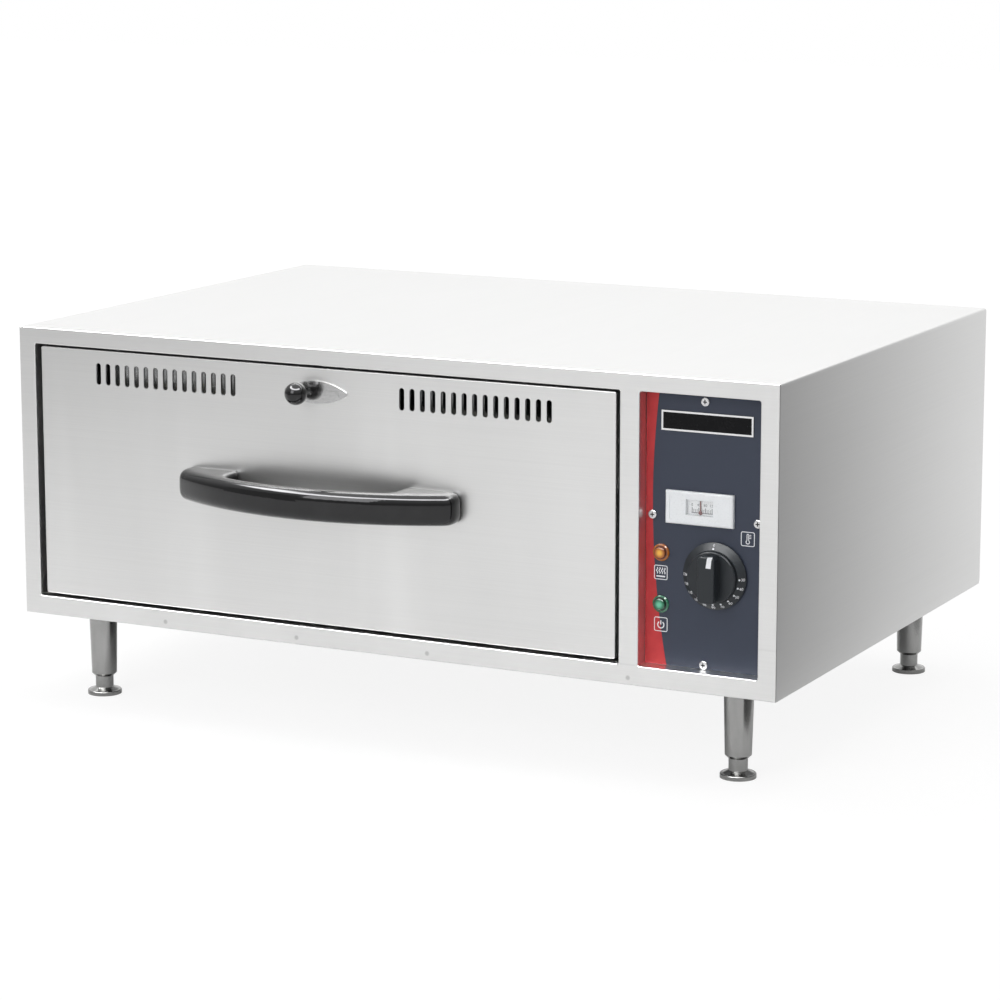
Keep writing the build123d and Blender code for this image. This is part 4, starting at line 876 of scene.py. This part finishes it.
ring_tree = dot_ring()
dot_inputs = {"Radius": dot_ring_r, "First Angle": mark_first, "Step": mark_step, "Count": mark_count,
              "Dot Radius": dot_r, "Dot Depth": dot_t, "Centre": (knob_x, skirt_y(dot_ring_r), knob_z),
              "Lean": skirt_slope / dot_ring_r, "Finish": white_ink}
grown("skirt_dots", ring_tree, dot_inputs, "thermostat_dial")
zero_inputs = {**dot_inputs, "First Angle": 0.0, "Count": 1}
grown("zero_dot", ring_tree, zero_inputs, "thermostat_dial")

mark_angles = [mark_first + mark_step * i for i in range(mark_count)]
for mark, mark_angle in [(0, 0.0), *zip(mark_values, mark_angles)]:
    aside, above = sin(mark_angle), cos(mark_angle)
    numeral_place = (knob_x + number_ring_r * aside, skirt_y(number_ring_r) - number_seat,
                     knob_z + number_ring_r * above)
    numeral(f"skirt_numeral_{mark}", str(mark), number_size, numeral_place, white_ink, "thermostat_dial",
            facing=(skirt_slope * aside, -1, skirt_slope * above))


# ---- Pilot lamps ----
# Moulded lenses snapped into the panel, amber for heating and green for power. Each has
# a clear rim, a groove in painted shade and a stepped dome, paled at its middle by painted light.
lens_core_r, lens_edge_r = 0.0008, 0.0044
groove_r = 0.0056
groove_dark, groove_clear = 0.0004, 0.0012


def lens(name, node, deep, bright, groove_painted_shade):
    """Coloured lens, its middle paled by painted light as where the lamp shows through, its groove in
    painted shade.
    """
    made = material(name, bright, roughness=0.20, Coat_Weight=0.5, Coat_Roughness=0.05,
                    Subsurface_Weight=0.10, Subsurface_Scale=0.002)
    tree = made.node_tree
    lo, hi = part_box(node)
    axis = (lo + hi) / 2
    place = own_place(tree)
    flat = joined(tree, "ShaderNodeVectorMath", {0: place, 1: (1, 0, 1)}, operation="MULTIPLY").outputs[0]
    from_axis = {0: flat, 1: (axis.x, 0, axis.z)}
    reach = joined(tree, "ShaderNodeVectorMath", from_axis, operation="DISTANCE").outputs["Value"]
    # Painted light pales the lens towards its middle, and painted shade darkens its groove.
    part = ramp(tree, reach, lens_core_r, lens_edge_r, curve="SMOOTHSTEP")
    tint = mixed(tree, part, (*bright, 1), (*deep, 1))
    beside = ramp(tree, apart(tree, reach, groove_r), groove_dark, groove_clear)
    wired(made, Base_Color=mixed(tree, beside, (*groove_painted_shade, 1), tint))
    rings = joined(tree, "ShaderNodeTexWave", {"Vector": place, "Scale": 260.0}, wave_type="RINGS")
    bumped(made, rings.outputs["Fac"], strength=0.06, depth=0.0003)
    dress(made, node)


lens("amber_lens", "heat_lamp_lens", deep=(0.42, 0.12, 0.008), bright=(0.86, 0.44, 0.04),
     groove_painted_shade=(0.14, 0.03, 0.003))
lens("green_lens", "power_lamp_lens", deep=(0.010, 0.16, 0.075), bright=(0.12, 0.52, 0.32),
     groove_painted_shade=(0.002, 0.035, 0.018))


# ---- Capillaries, terminals and cable gland ----
# Drawn copper sensor tubes run from the two instruments into the cavity. The mains
# enters by a black nylon gland and ends on a glazed ceramic terminal block.
copper = grained("copper_tube", (0.42, 0.19, 0.11), (0.82, 0.42, 0.26), smooth=0.24, rough=0.42, scale=70,
                 Metallic=1.0)
dress(copper, "thermostat_capillary", "thermometer_capillary")

glazed = grained("glazed_block", (0.76, 0.74, 0.68), (0.83, 0.81, 0.76), smooth=0.14, rough=0.30, scale=240,
                 Coat_Weight=0.5, Coat_Roughness=0.08)
dress(glazed, "terminal_block")
dress(moulded, "cable_gland")


# ---- Legs and feet ----
# Turned satin stainless legs with fine lathe rings are bolted under the cabinet.
# A round foot screws into each for levelling.
leg_steel = polished_sheet("turned_leg", (0.34, 0.34, 0.335), roughness=0.18, lines=(60, 60, 1800),
                           drag=(90, 90, 30), line_depth=0.16, smear_depth=0.34)
for corner in ("front_left", "front_right", "rear_left", "rear_right"):
    dress(leg_steel, "leg_" + corner, "foot_" + corner)
